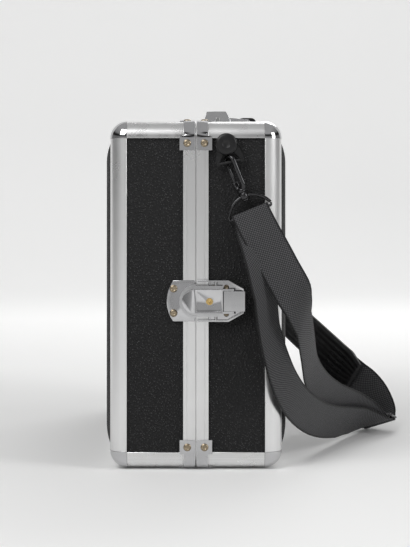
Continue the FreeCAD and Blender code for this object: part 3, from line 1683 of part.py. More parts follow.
def webbing():
    """The webbing: from the slider's middle bar to the near ring, back, and on to the far ring."""
    width, sheet_t = dim.webbing_width.value, dim.webbing_sheet.value
    room = dim.webbing_room.value
    sections = []

    def add(centre, wide, up):
        sections.append(band_section(centre, wide, up, width, sheet_t))

    back_strand = frames([Station(*ring_bar(-1), *hook_across)] + BACK_ROUTE + [SLIDER])[1:-1]
    front_strand = frames([Station(*ring_bar(-1), *hook_across)] + FRONT_ROUTE + [SLIDER])[1:-1]
    reach = dim.slider_reach.value
    point, along, wide, up = slider_frame()
    under = dim.slider_bar.value + room + sheet_t / 2
    for turn in TURNS:
        out = along * math.cos(turn) - up * math.sin(turn)
        add(point + out * under, wide, out)
    add(point - along * reach + up * (under + sheet_t + room), wide, up)
    for point, along, wide, up in reversed(back_strand):
        add(point, wide, up)
    bar = ring_bar(-1)
    turn_radius = dim.ring_wire.value / COS_EIGHTH + room + sheet_t / 2
    front = Vector(0, -1, 0)
    for turn in reversed(TURNS):
        out = front * math.sin(turn) - hook_down * math.cos(turn)
        add(bar + out * turn_radius, hook_across, -out)
    for point, along, wide, up in front_strand:
        add(point, wide, -up)
    point, along, wide, up = slider_frame()
    over = under + sheet_t + room * 2
    for shift, rise in ((-reach, -under), (0, over), (reach, -under)):
        add(point + along * shift - up * rise, wide, -up)
    below = (dim.pad_sheet.value + sheet_t) / 2 + room
    rise_frames = frames([SLIDER] + RISE_ROUTE + PAD_ROUTE[:1])[1:-1]
    count = len(rise_frames)
    for number, (point, along, wide, up) in enumerate(rise_frames, 1):
        add(point + up * (below * number / (count + 1)), wide, -up)
    for point, along, wide, up in frames(PAD_ROUTE):
        add(point + up * below, wide, -up)
    bar = ring_bar(1)
    tail_frames = frames(PAD_ROUTE[-1:] + TAIL_ROUTE + [Station(*bar, *hook_across)])[1:-1]
    count = len(tail_frames) + 1
    for number, (point, along, wide, up) in enumerate(tail_frames, 1):
        add(point + up * (below * (1 - number / count)), wide, -up)
    sewn_end, sewn_wide, sewn_up = point.add((bar - point) * dim.sewn_share.value), wide, up
    back = Vector(0, 1, 0)
    for turn in TURNS:
        out = back * math.sin(turn) - hook_down * math.cos(turn)
        add(bar + out * turn_radius, hook_across, -out)
    add(sewn_end - sewn_up * (sheet_t + room), sewn_wide, sewn_up)
    band = doc.addObject("Part::Feature", "webbing")
    band.Shape = Part.makeLoft(sections, True, True)
    return band


def shoulder_pad():
    """The pad over the webbing, narrower at its ends."""
    width, thickness = dim.pad_width.value, dim.pad_sheet.value
    stations = frames(PAD_ROUTE)
    sections = []
    last = len(stations) - 1
    for number, (point, along, wide, up) in enumerate(stations):
        share = dim.pad_end_share.value if number in (0, last) else 1
        sections.append(band_section(point, wide, up, width * share, thickness * share))
    form = doc.addObject("Part::Feature", "pad_form")
    form.Shape = Part.makeLoft(sections, True, True)
    return form


def slider():
    """The slider: two end bars and a middle bar between two sides."""
    point, along, wide, up = slider_frame()
    half, reach, bar = dim.slider_half, dim.slider_reach, dim.slider_bar
    sides = new_body("slider_sides")
    for low, high in ((-half - bar, -half + bar), (half - bar, half + bar)):
        side = [To(-reach, low), To(reach, low), To(reach, high), To(-reach, high)]
        pad(sides, "z", -bar, bar, [side])
    bars = [
        cylinder(f"slider_bar_{number}", "y", -half - bar, half + bar, place, 0, bar)
        for number, place in enumerate((-reach, 0, reach), 1)
    ]
    whole = join("slider_whole", [sides] + bars)
    matrix = FreeCAD.Matrix(
        along.x, wide.x, up.x, point.x,
        along.y, wide.y, up.y, point.y,
        along.z, wide.z, up.z, point.z,
        0, 0, 0, 1,
    )
    whole.Placement = Placement(matrix)
    return whole


# Assembly
def build_half(half, frame):
    """The case pieces of one half, made on the base's side, by name."""
    pieces = {
        "main_edges": main_edges(half),
        "side_edges": side_edges(half),
        "seam_frame": frame,
        "main_panel": main_panel(half),
        "ball_corners": ball_corners(half),
        "corner_braces": four_corners(half + "_brace_set", corner_brace(half)),
        "brace_rivets": brace_rivets(half),
        "lining": lining(half),
    }
    for place, item in thin_panels(half).items():
        pieces[place + "_panel"] = item
    return pieces


for place, item in build_half("base", base_seam_frame()).items():
    node("base_" + place, item)
for place, item in build_half("lid", lid_seam_frame()).items():
    node("lid_" + place, mirror("lid_" + place, item, "x"))

node("hinge_leaves_base", both_hinges("base_leaf_pair", hinge_leaf("base", 0)))
lid_leaves = both_hinges("lid_leaf_pair", hinge_leaf("lid", 1))
node("hinge_leaves_lid", mirror("lid_leaf_image", lid_leaves, "x"))
pin = cylinder(
    "hinge_pin", "z", hinge_low, hinge_low + dim.hinge_height, 0, knuckle_y, dim.hinge_pin_radius
)
node("hinge_pins", both_hinges("hinge_pin_pair", pin))
node("hinge_rivets_base", hinge_rivets("base"))
node("hinge_rivets_lid", mirror("lid_hinge_rivet_image", hinge_rivets("lid"), "x"))

node("latch_catch_plate", catch_plate())
node("latch_catch_rivets", catch_rivets())
node("latch_base", latch_base())
node("latch_base_rivets", latch_base_rivets())
node("latch_lever", latch_lever())
node("latch_hasp", latch_hasp())
lever_pin, hasp_pin = latch_pins()
node("latch_lever_pin", lever_pin)
node("latch_hasp_pin", hasp_pin)
node("latch_key_cylinder", key_cylinder())

node("handle_brackets", handle_bracket())
node("handle_pivot_pins", handle_pins())
node("handle_bail", handle_bail())
node("handle_grip", handle_grip())
doc.recompute()

anchor = strap_anchor()
node("near_strap_anchor", anchor)
node("far_strap_anchor", far_image("far_anchor", anchor))
loop = anchor_loop()
node("near_anchor_loop", loop)
node("far_anchor_loop", far_image("far_loop", loop))
hook = hook_body()
node("near_hook", hook)
node("far_hook", far_image("hook_far", hook))
gate = hook_gate()
node("near_hook_gate", gate)
node("far_hook_gate", far_image("gate_far", gate))
ring = strap_ring()
node("near_strap_ring", ring)
node("far_strap_ring", far_image("ring_far", ring))
node("strap_webbing", webbing())
node("strap_slider", slider())
node("shoulder_pad", shoulder_pad())
doc.recompute()


def write_pieces():
    """Check every object and write each piece to its own file."""
    for item in doc.Objects:
        if any(word in item.State for word in ("Invalid", "Error")):
            raise RuntimeError(f"{item.Label} failed: {item.State}")
    os.makedirs("parts", exist_ok=True)
    for item in NODES:
        if item.Shape.isNull() or not item.Shape.isValid():
            raise RuntimeError(f"{item.Label} has no valid shape")
        item.Shape.exportStep(f"parts/{item.Label}.step")


write_pieces()
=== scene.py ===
"""A hard sample case: edge extrusions, board panels, chrome fittings and a webbing strap."""

import json
import math

import bmesh
import bpy
from bpy.props import FloatProperty, FloatVectorProperty, PointerProperty
from mathutils import Matrix, Vector

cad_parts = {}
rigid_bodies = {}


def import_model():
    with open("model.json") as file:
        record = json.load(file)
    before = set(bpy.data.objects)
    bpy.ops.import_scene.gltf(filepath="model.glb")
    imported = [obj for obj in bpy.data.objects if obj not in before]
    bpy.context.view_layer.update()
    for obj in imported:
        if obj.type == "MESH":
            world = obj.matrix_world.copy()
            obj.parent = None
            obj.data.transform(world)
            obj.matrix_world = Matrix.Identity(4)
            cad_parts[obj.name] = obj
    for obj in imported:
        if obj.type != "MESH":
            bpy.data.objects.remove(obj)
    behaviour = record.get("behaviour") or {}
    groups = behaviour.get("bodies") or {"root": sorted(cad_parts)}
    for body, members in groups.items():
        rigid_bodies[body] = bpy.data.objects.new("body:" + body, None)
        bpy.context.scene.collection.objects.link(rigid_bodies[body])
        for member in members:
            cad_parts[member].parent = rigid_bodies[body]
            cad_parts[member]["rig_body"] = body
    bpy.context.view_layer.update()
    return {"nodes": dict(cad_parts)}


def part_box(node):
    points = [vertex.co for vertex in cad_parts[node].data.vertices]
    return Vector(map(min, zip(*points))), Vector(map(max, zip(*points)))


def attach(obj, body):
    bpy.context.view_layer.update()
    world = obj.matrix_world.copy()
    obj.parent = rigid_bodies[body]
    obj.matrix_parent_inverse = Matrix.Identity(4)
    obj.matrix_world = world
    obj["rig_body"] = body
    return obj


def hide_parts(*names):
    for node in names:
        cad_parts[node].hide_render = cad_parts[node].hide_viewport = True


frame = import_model()
NODES = frame["nodes"]

bl_info = {
    "name": "Sample case",
    "version": (1, 0, 0),
    "blender": (4, 5, 0),
    "location": "View3D > Sidebar > Sample case",
    "description": "Dresses a hard sample case with finishes, fittings and its strap",
    "category": "Object",
}

HALVES = ("base", "lid")
ENDS = (("near", 1), ("far", -1))

# Sizes in metres that the frame doesn't name
NEAR_FACE = -0.230
FRAME_ENDS = 0.2128
MIDDLE_LEVEL = 0.17
SAME_PLACE = 2e-6

# Streaks a metre across and along the way a bar was drawn
STREAKS, STREAK_LENGTHS = 1100.0, 4.0

# The photograph's height, focal length and shift, in pixels
PHOTO_HEIGHT, PHOTO_FOCUS = 547, 1525.5
PHOTO_SHIFT = (1, -78.5)
SENSOR = 36.0


# Properties
def length(name, description, default):
    return FloatProperty(
        name=name, description=description, default=default, min=0.0, unit="LENGTH", precision=5
    )


def colour(name, description, default):
    return FloatVectorProperty(
        name=name, description=description, default=default, min=0.0, max=1.0,
        size=3, subtype="COLOR",
    )


class CaseSizes(bpy.types.PropertyGroup):
    """Sizes of the fittings and the strap."""

    edge_round: length("Edge rounding", "Rounding on the edges of metal fittings", 0.00035)
    pebble: length("Pebble", "Size of the pebbles in the board's grain", 0.0019)
    hook_wire: length("Hook wire", "Radius of the snap hooks' wire", 0.0022)
    gate_wire: length("Gate wire", "Radius of the snap hooks' gates", 0.0016)
    ring_wire: length("Ring wire", "Radius of the strap rings' wire", 0.0017)
    slider_bar: length("Slider bar", "Radius of the slider's bars", 0.0011)
    webbing_width: length("Webbing width", "Width of the strap's webbing", 0.038)
    webbing_sheet: length("Webbing thickness", "Thickness of the strap's webbing", 0.0014)
    pad_width: length("Pad width", "Width of the shoulder pad", 0.044)
    pad_sheet: length("Pad thickness", "Thickness of the shoulder pad", 0.008)


class CaseColours(bpy.types.PropertyGroup):
    """Colours of the finishes."""

    board: colour("Board", "Black board of the panels", (0.005, 0.005, 0.0055))
    aluminium: colour("Aluminium", "Satin extrusions and frames", (0.84, 0.84, 0.84))
    chrome: colour("Chrome", "Plated fittings", (0.58, 0.58, 0.59))
    bronze: colour("Bronze", "Heads of the rivets", (0.34, 0.28, 0.20))
    brass: colour("Brass", "Key cylinder", (0.72, 0.50, 0.20))
    lining: colour("Lining", "Cloth inside the case", (0.045, 0.047, 0.052))
    black_metal: colour("Black metal", "Hooks, rings and slider", (0.060, 0.060, 0.062))
    plastic: colour("Black plastic", "Handle grip and strap anchors", (0.006, 0.006, 0.0065))
    steel: colour("Steel", "Pins", (0.52, 0.52, 0.52))
    webbing: colour("Webbing", "Strap", (0.007, 0.007, 0.008))
    pad: colour("Pad", "Shoulder pad", (0.008, 0.008, 0.0085))
    floor: colour("Floor", "Floor and backdrop", (0.86, 0.86, 0.855))


class CaseStudio(bpy.types.PropertyGroup):
    """The floor, the lamps and the camera."""

    lamp: FloatProperty(name="Lamp", description="Power of the main lamp", default=36.0, unit="POWER")
    sky: FloatProperty(
        name="Sky", description="Strength of the even light all round", default=0.46, min=0.0
    )
    distance: length("Camera distance", "Distance of the camera from the case's near face", 1.5)
    eye_height: length("Camera height", "Height of the camera above the floor", 0.271)
    sideways: length("Camera offset", "Offset of the camera from the seam", 0.008)


# Node helpers
def feed(tree, value, socket):
    """Links a socket to an input, or sets the input's value."""
    if isinstance(value, bpy.types.NodeSocket):
        tree.links.new(value, socket)
    else:
        socket.default_value = value


def add(tree, kind, **values):
    """A node with some of its own settings and with what feeds its inputs."""
    node = tree.nodes.new(kind)
    for key, value in values.items():
        if key.startswith("in_"):
            name = key[3:]
            feed(tree, value, node.inputs[int(name) if name.isdigit() else name])
        else:
            setattr(node, key, value)
    return node


def new_group(name, inputs, outputs):
    """An empty shader group with its two ends, its first input a vector and the rest numbers."""
    tree = bpy.data.node_groups.new(name, "ShaderNodeTree")
    for in_out, labels in (("INPUT", inputs), ("OUTPUT", outputs)):
        for label in labels:
            kind = "NodeSocketVector" if label == inputs[0] else "NodeSocketFloat"
            tree.interface.new_socket(name=label, in_out=in_out, socket_type=kind)
    return tree, tree.nodes.new("NodeGroupInput"), tree.nodes.new("NodeGroupOutput")


def maths(tree, operation, *values):
    node = add(tree, "ShaderNodeMath", operation=operation)
    for socket, value in zip(node.inputs, values):
        feed(tree, value, socket)
    return node.outputs[0]


def times(tree, first, second):
    return maths(tree, "MULTIPLY", first, second)


def plus(tree, first, second):
    return maths(tree, "ADD", first, second)


def scaled(tree, vector, scale):
    """A vector times a fixed vector."""
    node = add(tree, "ShaderNodeVectorMath", operation="MULTIPLY", in_0=vector, in_1=scale)
    return node.outputs[0]


def split(tree, vector):
    """The X, Y and Z of a vector."""
    return add(tree, "ShaderNodeSeparateXYZ", in_0=vector).outputs


def noise(tree, vector, scale, detail=3.0, rough=0.5):
    return add(
        tree, "ShaderNodeTexNoise", in_Vector=vector, in_Scale=scale, in_Detail=detail,
        in_Roughness=rough,
    ).outputs["Fac"]


def ranged(tree, value, low, high, to_low, to_high):
    """A value carried from one range to another, and kept inside it."""
    return add(
        tree, "ShaderNodeMapRange", clamp=True, in_0=value, in_1=low, in_2=high, in_3=to_low,
        in_4=to_high,
    ).outputs[0]


def mixed(tree, factor, first, second):
    """A mix of two colours, each a socket or a colour."""
    first, second = (
        value if isinstance(value, bpy.types.NodeSocket) else (*value, 1.0)
        for value in (first, second)
    )
    node = add(tree, "ShaderNodeMix", data_type="RGBA", in_0=factor, in_6=first, in_7=second)
    return node.outputs[2]


def smudges_group():
    """Faint cloudy patches, from 0 to 1."""
    tree, start, end = new_group("Smudges", ("Vector", "Size"), ("Value",))
    turns = maths(tree, "DIVIDE", 1.0, start.outputs["Size"])
    cloud = noise(tree, start.outputs["Vector"], turns, 4.0, 0.62)
    tree.links.new(ranged(tree, cloud, 0.32, 0.72, 0.0, 1.0), end.inputs[0])
    return tree


def drawn_grain_group():
    """Fine streaks along the way a bar was drawn: along Y, or along Z near the case's ends."""
    tree, start, end = new_group("Drawn grain", ("Vector", "Ends"), ("Value",))
    vector = start.outputs["Vector"]
    parts = split(tree, vector)
    beyond = maths(tree, "GREATER_THAN", maths(tree, "ABSOLUTE", parts["Y"]), FRAME_ENDS)
    beyond = times(tree, beyond, start.outputs["Ends"])
    level = noise(tree, scaled(tree, vector, (STREAKS, STREAK_LENGTHS, STREAKS)), 1.0, 2.0)
    upright = noise(tree, scaled(tree, vector, (STREAKS, STREAKS, STREAK_LENGTHS)), 1.0, 2.0)
    both = add(
        tree, "ShaderNodeMix", data_type="FLOAT", in_0=beyond, in_2=level, in_3=upright
    )
    tree.links.new(both.outputs[0], end.inputs[0])
    return tree


# How far the pebbles stray from an even grain
WANDER = 0.0016


def pebble_group():
    """Raised pebbles with fine creases between them: height, and a mask of the crests."""
    tree, start, end = new_group("Pebbled board", ("Vector", "Size"), ("Height", "Crests"))
    vector = start.outputs["Vector"]
    wander = add(tree, "ShaderNodeTexNoise", in_Vector=vector, in_Scale=160.0, in_Detail=2.0)
    shift = add(
        tree, "ShaderNodeVectorMath", operation="MULTIPLY_ADD", in_0=wander.outputs["Color"],
        in_1=(WANDER, WANDER, WANDER), in_2=vector,
    )
    turns = maths(tree, "DIVIDE", 1.0, start.outputs["Size"])
    cells = add(
        tree, "ShaderNodeTexVoronoi", feature="SMOOTH_F1", in_Smoothness=0.35,
        in_Vector=shift.outputs[0], in_Scale=turns,
    )
    domes = ranged(tree, cells.outputs["Distance"], 0.05, 0.75, 1.0, 0.0)
    fine = noise(tree, vector, 1900.0, 3.0)
    height = plus(tree, domes, times(tree, fine, 0.28))
    tree.links.new(height, end.inputs["Height"])
    tree.links.new(ranged(tree, height, 0.80, 1.12, 0.0, 1.0), end.inputs["Crests"])
    return tree


# The weave's pitch across the webbing, half the webbing's width, and where the woven edge is
WEBBING_THREAD, WEBBING_HALF = 0.0029, 0.019
WOVEN_EDGE = (0.0165, 0.018)


def webbing_weave_group():
    """Diamonds of a diagonal weave in the piece's own map: u runs across, v along, both in metres."""
    tree, start, end = new_group("Webbing weave", ("Map",), ("Height", "Threads", "Edges"))
    across, along, _ = split(tree, start.outputs[0])
    turn = math.pi / WEBBING_THREAD
    waves = [
        maths(tree, "SINE", times(tree, maths(tree, way, across, along), turn))
        for way in ("ADD", "SUBTRACT")
    ]
    height = times(tree, waves[0], waves[1])
    height = ranged(tree, maths(tree, "ABSOLUTE", height), 0.0, 0.7, 0.0, 1.0)
    fuzz = noise(tree, start.outputs[0], 2600.0, 2.0)
    threads = times(tree, height, plus(tree, fuzz, 0.4))
    tree.links.new(height, end.inputs["Height"])
    tree.links.new(threads, end.inputs["Threads"])
    side = maths(tree, "ABSOLUTE", maths(tree, "SUBTRACT", across, WEBBING_HALF))
    tree.links.new(ranged(tree, side, *WOVEN_EDGE, 0.0, 1.0), end.inputs["Edges"])
    return tree


def cloth_weave_group():
    """A plain weave on the object's own axes."""
    tree, start, end = new_group("Plain weave", ("Vector", "Thread"), ("Value",))
    turn = maths(tree, "DIVIDE", math.pi, start.outputs["Thread"])
    waves = [
        maths(tree, "SINE", times(tree, part, turn))
        for part in split(tree, start.outputs["Vector"])
    ]
    total = plus(tree, plus(tree, waves[0], waves[1]), waves[2])
    tree.links.new(ranged(tree, total, -2.0, 2.0, 0.0, 1.0), end.inputs[0])
    return tree


GROUPS = {}
FINISHES = {}


def effect(tree, name, **links):
    """A shared effect placed in a material, fed by sockets or numbers."""
    makers = {
        "Smudges": smudges_group,
        "Drawn grain": drawn_grain_group,
        "Pebbled board": pebble_group,
        "Webbing weave": webbing_weave_group,
        "Plain weave": cloth_weave_group,
    }
    if name not in GROUPS:
        GROUPS[name] = makers[name]()
    node = tree.nodes.new("ShaderNodeGroup")
    node.node_tree = GROUPS[name]
    for key, value in links.items():
        feed(tree, value, node.inputs[key])
    return node.outputs


class Finish:
    """A material with its tree, its shader and the object's coordinates."""

    def __init__(self, name, base, metallic, rough, **sockets):
        self.material = bpy.data.materials.new(name)
        self.material.use_nodes = True
        self.tree = self.material.node_tree
        self.shader = self.tree.nodes["Principled BSDF"]
        self.base = tuple(base)
        self.shader.inputs["Base Color"].default_value = (*base, 1.0)
        self.shader.inputs["Metallic"].default_value = metallic
        self.shader.inputs["Roughness"].default_value = rough
        for key, value in sockets.items():
            self.shader.inputs[key.replace("_", " ")].default_value = value
        self.place = add(self.tree, "ShaderNodeTexCoord").outputs["Object"]
        self.material.diffuse_color = (*base, 1.0)
        FINISHES[name] = self.material

    def link(self, value, socket):
        self.tree.links.new(value, self.shader.inputs[socket])

    def bump(self, height, strength, distance):
        node = add(
            self.tree, "ShaderNodeBump", in_Strength=strength, in_Distance=distance,
            in_Height=height,
        )
        self.link(node.outputs["Normal"], "Normal")

    def tint(self, factor, first, second):
        """Mixes two colours into the base colour."""
        self.link(mixed(self.tree, factor, first, second), "Base Color")

    def gloss(self, value, low, high):
        """Carries a value from 0 to 1 over to the roughness."""
        self.link(ranged(self.tree, value, 0.0, 1.0, low, high), "Roughness")

    def patches(self, size):
        return effect(self.tree, "Smudges", Vector=self.place, Size=size)[0]

    def darker(self, amount):
        return tuple(channel * amount for channel in self.base)


def metal_finish(name, base, rough_low, rough_high, grain=None, patch=0.02):
    """A metal whose gloss varies in patches, with a drawn grain where it has one."""
    finish = Finish(name, base, 1.0, rough_low)
    tree = finish.tree
    patches = finish.patches(patch)
    finish.gloss(patches, rough_low, rough_high)
    tone = times(tree, patches, 0.5)
    if grain is not None:
        streaks = effect(tree, "Drawn grain", Vector=finish.place, Ends=grain)[0]
        tone = plus(tree, times(tree, tone, 0.3), times(tree, streaks, 0.35))
    finish.tint(tone, finish.base, finish.darker(0.80))


def side_metal(name, base):
    """Satin metal drawn along X."""
    finish = Finish(name, base, 1.0, 0.26)
    tree = finish.tree
    stretch = (STREAK_LENGTHS, STREAKS, STREAKS)
    streaks = noise(tree, scaled(tree, finish.place, stretch), 1.0, 2.0)
    patches = finish.patches(0.03)
    finish.gloss(patches, 0.22, 0.36)
    finish.tint(streaks, finish.base, finish.darker(0.78))


def moulded(name, base, rough, texture, depth):
    """Moulded plastic or rubber with a fine spark-eroded surface."""
    finish = Finish(name, base, 0.0, rough, Specular_IOR_Level=0.35)
    tree = finish.tree
    fine = noise(tree, finish.place, texture, 3.0, 0.6)
    patches = finish.patches(0.012)
    finish.gloss(patches, rough - 0.08, rough + 0.12)
    lighter = tuple(channel * 1.9 + 0.004 for channel in finish.base)
    finish.tint(times(tree, fine, patches), finish.base, lighter)
    finish.bump(fine, 0.35, depth)


def make_finishes():
    """Every material of the case."""
    colours = bpy.context.scene.case_colours
    sizes = bpy.context.scene.case_sizes
    metal_finish("satin_aluminium", colours.aluminium, 0.27, 0.35, grain=1.0, patch=0.05)
    side_metal("side_aluminium", colours.aluminium)
    metal_finish("mirror_chrome", colours.chrome, 0.04, 0.12)
    metal_finish("old_bronze", colours.bronze, 0.22, 0.46, patch=0.0022)
    metal_finish("lock_brass", colours.brass, 0.14, 0.30, patch=0.003)
    metal_finish("pin_steel", colours.steel, 0.18, 0.34, patch=0.003)
    metal_finish("black_metal", colours.black_metal, 0.16, 0.34, patch=0.004)

    board = Finish("black_board", colours.board, 0.0, 0.42, Specular_IOR_Level=0.3)
    tree = board.tree
    grain = effect(tree, "Pebbled board", Vector=board.place, Size=sizes.pebble)
    patches = board.patches(0.05)
    rough = ranged(tree, grain["Crests"], 0.0, 1.0, 0.60, 0.28)
    board.link(plus(tree, rough, times(tree, patches, 0.10)), "Roughness")
    # Painted highlight: the pebbles' crests are tinted pale, more in some patches, in place of light
    # glinting on them
    crest_highlight = times(tree, grain["Crests"], ranged(tree, patches, 0.0, 1.0, 0.45, 1.0))
    pale = tuple(channel * 3.0 + 0.075 for channel in board.base)
    board.tint(crest_highlight, board.base, pale)
    board.bump(grain["Height"], 0.9, 0.0009)

    lining = Finish("lining_cloth", colours.lining, 0.0, 0.9, Sheen_Weight=0.25, Sheen_Roughness=0.5)
    tree = lining.tree
    weave = effect(tree, "Plain weave", Vector=lining.place, Thread=0.0009)[0]
    patches = lining.patches(0.04)
    lining.tint(times(tree, weave, patches), lining.base, lining.darker(1.7))
    lining.bump(weave, 0.5, 0.0003)

    moulded("black_plastic", colours.plastic, 0.36, 1500.0, 0.0002)
    moulded("pad_rubber", colours.pad, 0.52, 900.0, 0.0003)

    webbing = Finish(
        "webbing", colours.webbing, 0.0, 0.62, Sheen_Weight=0.06, Sheen_Roughness=0.4,
        Specular_IOR_Level=0.28,
    )
    tree = webbing.tree
    map_node = add(tree, "ShaderNodeUVMap", uv_map="Strap map")
    weave = effect(tree, "Webbing weave", Map=map_node.outputs[0])
    pale = tuple(channel * 4.0 + 0.055 for channel in webbing.base)
    body = mixed(tree, weave["Threads"], webbing.base, pale)
    webbing.tint(weave["Edges"], body, webbing.darker(0.7))
    webbing.gloss(weave["Threads"], 0.74, 0.50)
    webbing.bump(weave["Height"], 0.7, 0.00045)


# Mesh helpers
def only(geometry, kind):
    """The vertices or the edges of a list of mixed geometry."""
    return [element for element in geometry if isinstance(element, kind)]


def placed(name, data):
    """An object in the scene."""
    piece = bpy.data.objects.new(name, data)
    bpy.context.scene.collection.objects.link(piece)
    return piece


def to_object(name, bm, finish, smooth_angle=35.0):
    """An object at the origin from a bmesh, smooth but for its sharp edges."""
    mesh = bpy.data.meshes.new(name)
    bm.to_mesh(mesh)
    bm.free()
    for polygon in mesh.polygons:
        polygon.use_smooth = True
    mesh.set_sharp_from_angle(angle=math.radians(smooth_angle))
    mesh.materials.append(FINISHES[finish])
    return placed(name, mesh)


def dress(piece, node):
    """Lets a piece stand for a CAD node, on its body."""
    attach(piece, NODES[node]["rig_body"])
    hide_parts(node)


def round_edges(piece, width, angle=40.0):
    """A live bevel on the sharp edges."""
    bevel = piece.modifiers.new("Rounded edges", "BEVEL")
    bevel.width = width
    bevel.segments = 2
    bevel.limit_method = "ANGLE"
    bevel.angle_limit = math.radians(angle)


def refined(node, finish, edge=None, angle=38.0):
    """A merged copy of a CAD node with smooth curves and rounded edges."""
    bm = bmesh.new()
    bm.from_mesh(NODES[node].data)
    bmesh.ops.remove_doubles(bm, verts=bm.verts, dist=SAME_PLACE)
    bmesh.ops.dissolve_limit(
        bm, angle_limit=math.radians(0.6), use_dissolve_boundaries=False,
        verts=bm.verts, edges=bm.edges, delimit=set(),
    )
    piece = to_object(node + "_dressed", bm, finish, angle)
    if edge:
        round_edges(piece, edge)
    dress(piece, node)


def paint(node, finish):
    """A CAD node keeps its shape and gets a finish."""
    slots = NODES[node].data.materials
    slots.clear()
    slots.append(FINISHES[finish])


def islands(node):
    """Lowest and highest corners of each separate solid of a CAD node."""
    bm = bmesh.new()
    bm.from_mesh(NODES[node].data)
    bmesh.ops.remove_doubles(bm, verts=bm.verts, dist=SAME_PLACE)
    left = set(bm.verts)
    result = []
    while left:
        found = {left.pop()}
        edge = set(found)
        while edge:
            edge = {v for f in edge for e in f.link_edges for v in e.verts} - found
            found |= edge
        left -= found
        corners = [v.co.copy() for v in found]
        low = Vector([min(c[i] for c in corners) for i in range(3)])
        high = Vector([max(c[i] for c in corners) for i in range(3)])
        result.append((low, high))
    bm.free()
    return sorted(result, key=lambda pair: tuple(pair[0]))


def turned(bm, points, matrix, steps):
    """A closed turned shape from its half profile (radius, height)."""
    old = set(bm.verts)
    verts = [bm.verts.new((radius, 0.0, height)) for radius, height in points]
    edges = [bm.edges.new(pair) for pair in zip(verts, verts[1:])]
    bmesh.ops.spin(
        bm, geom=verts + edges, axis=(0, 0, 1), angle=math.tau, steps=steps, use_merge=True
    )
    bmesh.ops.remove_doubles(bm, verts=[v for v in bm.verts if v not in old], dist=1e-6)
    bmesh.ops.transform(bm, matrix=matrix, verts=[v for v in bm.verts if v not in old])


def outward(bm):
    bmesh.ops.recalc_face_normals(bm, faces=bm.faces)


def finished(bm, node, finish, angle):
    """The piece that stands for a CAD node, with its faces outward."""
    outward(bm)
    piece = to_object(node + "_dressed", bm, finish, angle)
    dress(piece, node)
    return piece


def facing(place, direction):
    """A matrix whose Z axis looks along a direction."""
    up = Vector(direction).normalized()
    reference = Vector((0, 0, 1))
    if abs(up.dot(reference)) > 0.99:
        reference = Vector((1, 0, 0))
    first = reference.cross(up).normalized()
    second = up.cross(first)
    matrix = Matrix((first, second, up)).transposed().to_4x4()
    matrix.translation = place
    return matrix


class Rod:
    """A round rod bent and run on from a starting circle."""

    def __init__(self, bm, radius, place, direction, sides):
        self.bm = bm
        made = bmesh.ops.create_circle(
            bm, cap_ends=False, segments=sides, radius=radius, matrix=facing(place, direction)
        )
        self.first = list(dict.fromkeys(e for v in made["verts"] for e in v.link_edges))
        self.last = self.first

    def turn(self, centre, axis, angle, steps):
        verts = list(dict.fromkeys(v for e in self.last for v in e.verts))
        made = bmesh.ops.spin(
            self.bm, geom=verts + self.last, cent=centre, axis=axis, angle=math.radians(angle),
            steps=steps,
        )
        self.last = only(made["geom_last"], bmesh.types.BMEdge)
        return self

    def run(self, vector):
        made = bmesh.ops.extrude_edge_only(self.bm, edges=self.last)
        verts = only(made["geom"], bmesh.types.BMVert)
        bmesh.ops.translate(self.bm, verts=verts, vec=vector)
        edges = only(made["geom"], bmesh.types.BMEdge)
        self.last = [e for e in edges if all(v in verts for v in e.verts)]
        return self

    def close(self):
        bmesh.ops.edgeloop_fill(self.bm, edges=self.last)
        bmesh.ops.edgeloop_fill(self.bm, edges=self.first)


# The near loop's pivot, its tilt and reach, and how far the hook hangs below its inside
PIVOT_X, PIVOT_Z = 0.030, 0.321
LOOP_TILT, LOOP_REACH, HOOK_DROP = math.radians(12), 0.018, 0.0002
HOOK_TILT, HOOK_TURN = math.radians(22), math.radians(50)
LOOP_MIDDLE = (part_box("near_anchor_loop")[0].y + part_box("near_anchor_loop")[1].y) / 2

# How far below the eye the ring's bar lies
RING_BAR_PLACE = 0.0535


def axes(first, second, third, place):
    """A matrix from its three axes and its origin."""
    matrix = Matrix((first, second, third)).transposed().to_4x4()
    matrix.translation = place
    return matrix


def hook_frame():
    """The near hook's and ring's own frames, with their axis up along Z; the gate is on +X."""
    down = Vector((math.sin(HOOK_TILT), 0, -math.cos(HOOK_TILT)))
    across = Vector((-down.z, 0, down.x))
    level = Vector((0, 1, 0))
    eye = Vector((
        PIVOT_X + LOOP_REACH * math.sin(LOOP_TILT), LOOP_MIDDLE,
        PIVOT_Z - LOOP_REACH * math.cos(LOOP_TILT),
    )) + down * HOOK_DROP
    gate = -across * math.cos(HOOK_TURN) + level * math.sin(HOOK_TURN)
    hook = axes(gate, (-down).cross(gate), -down, eye)
    return hook, axes(across, level, -down, eye), down, across, eye


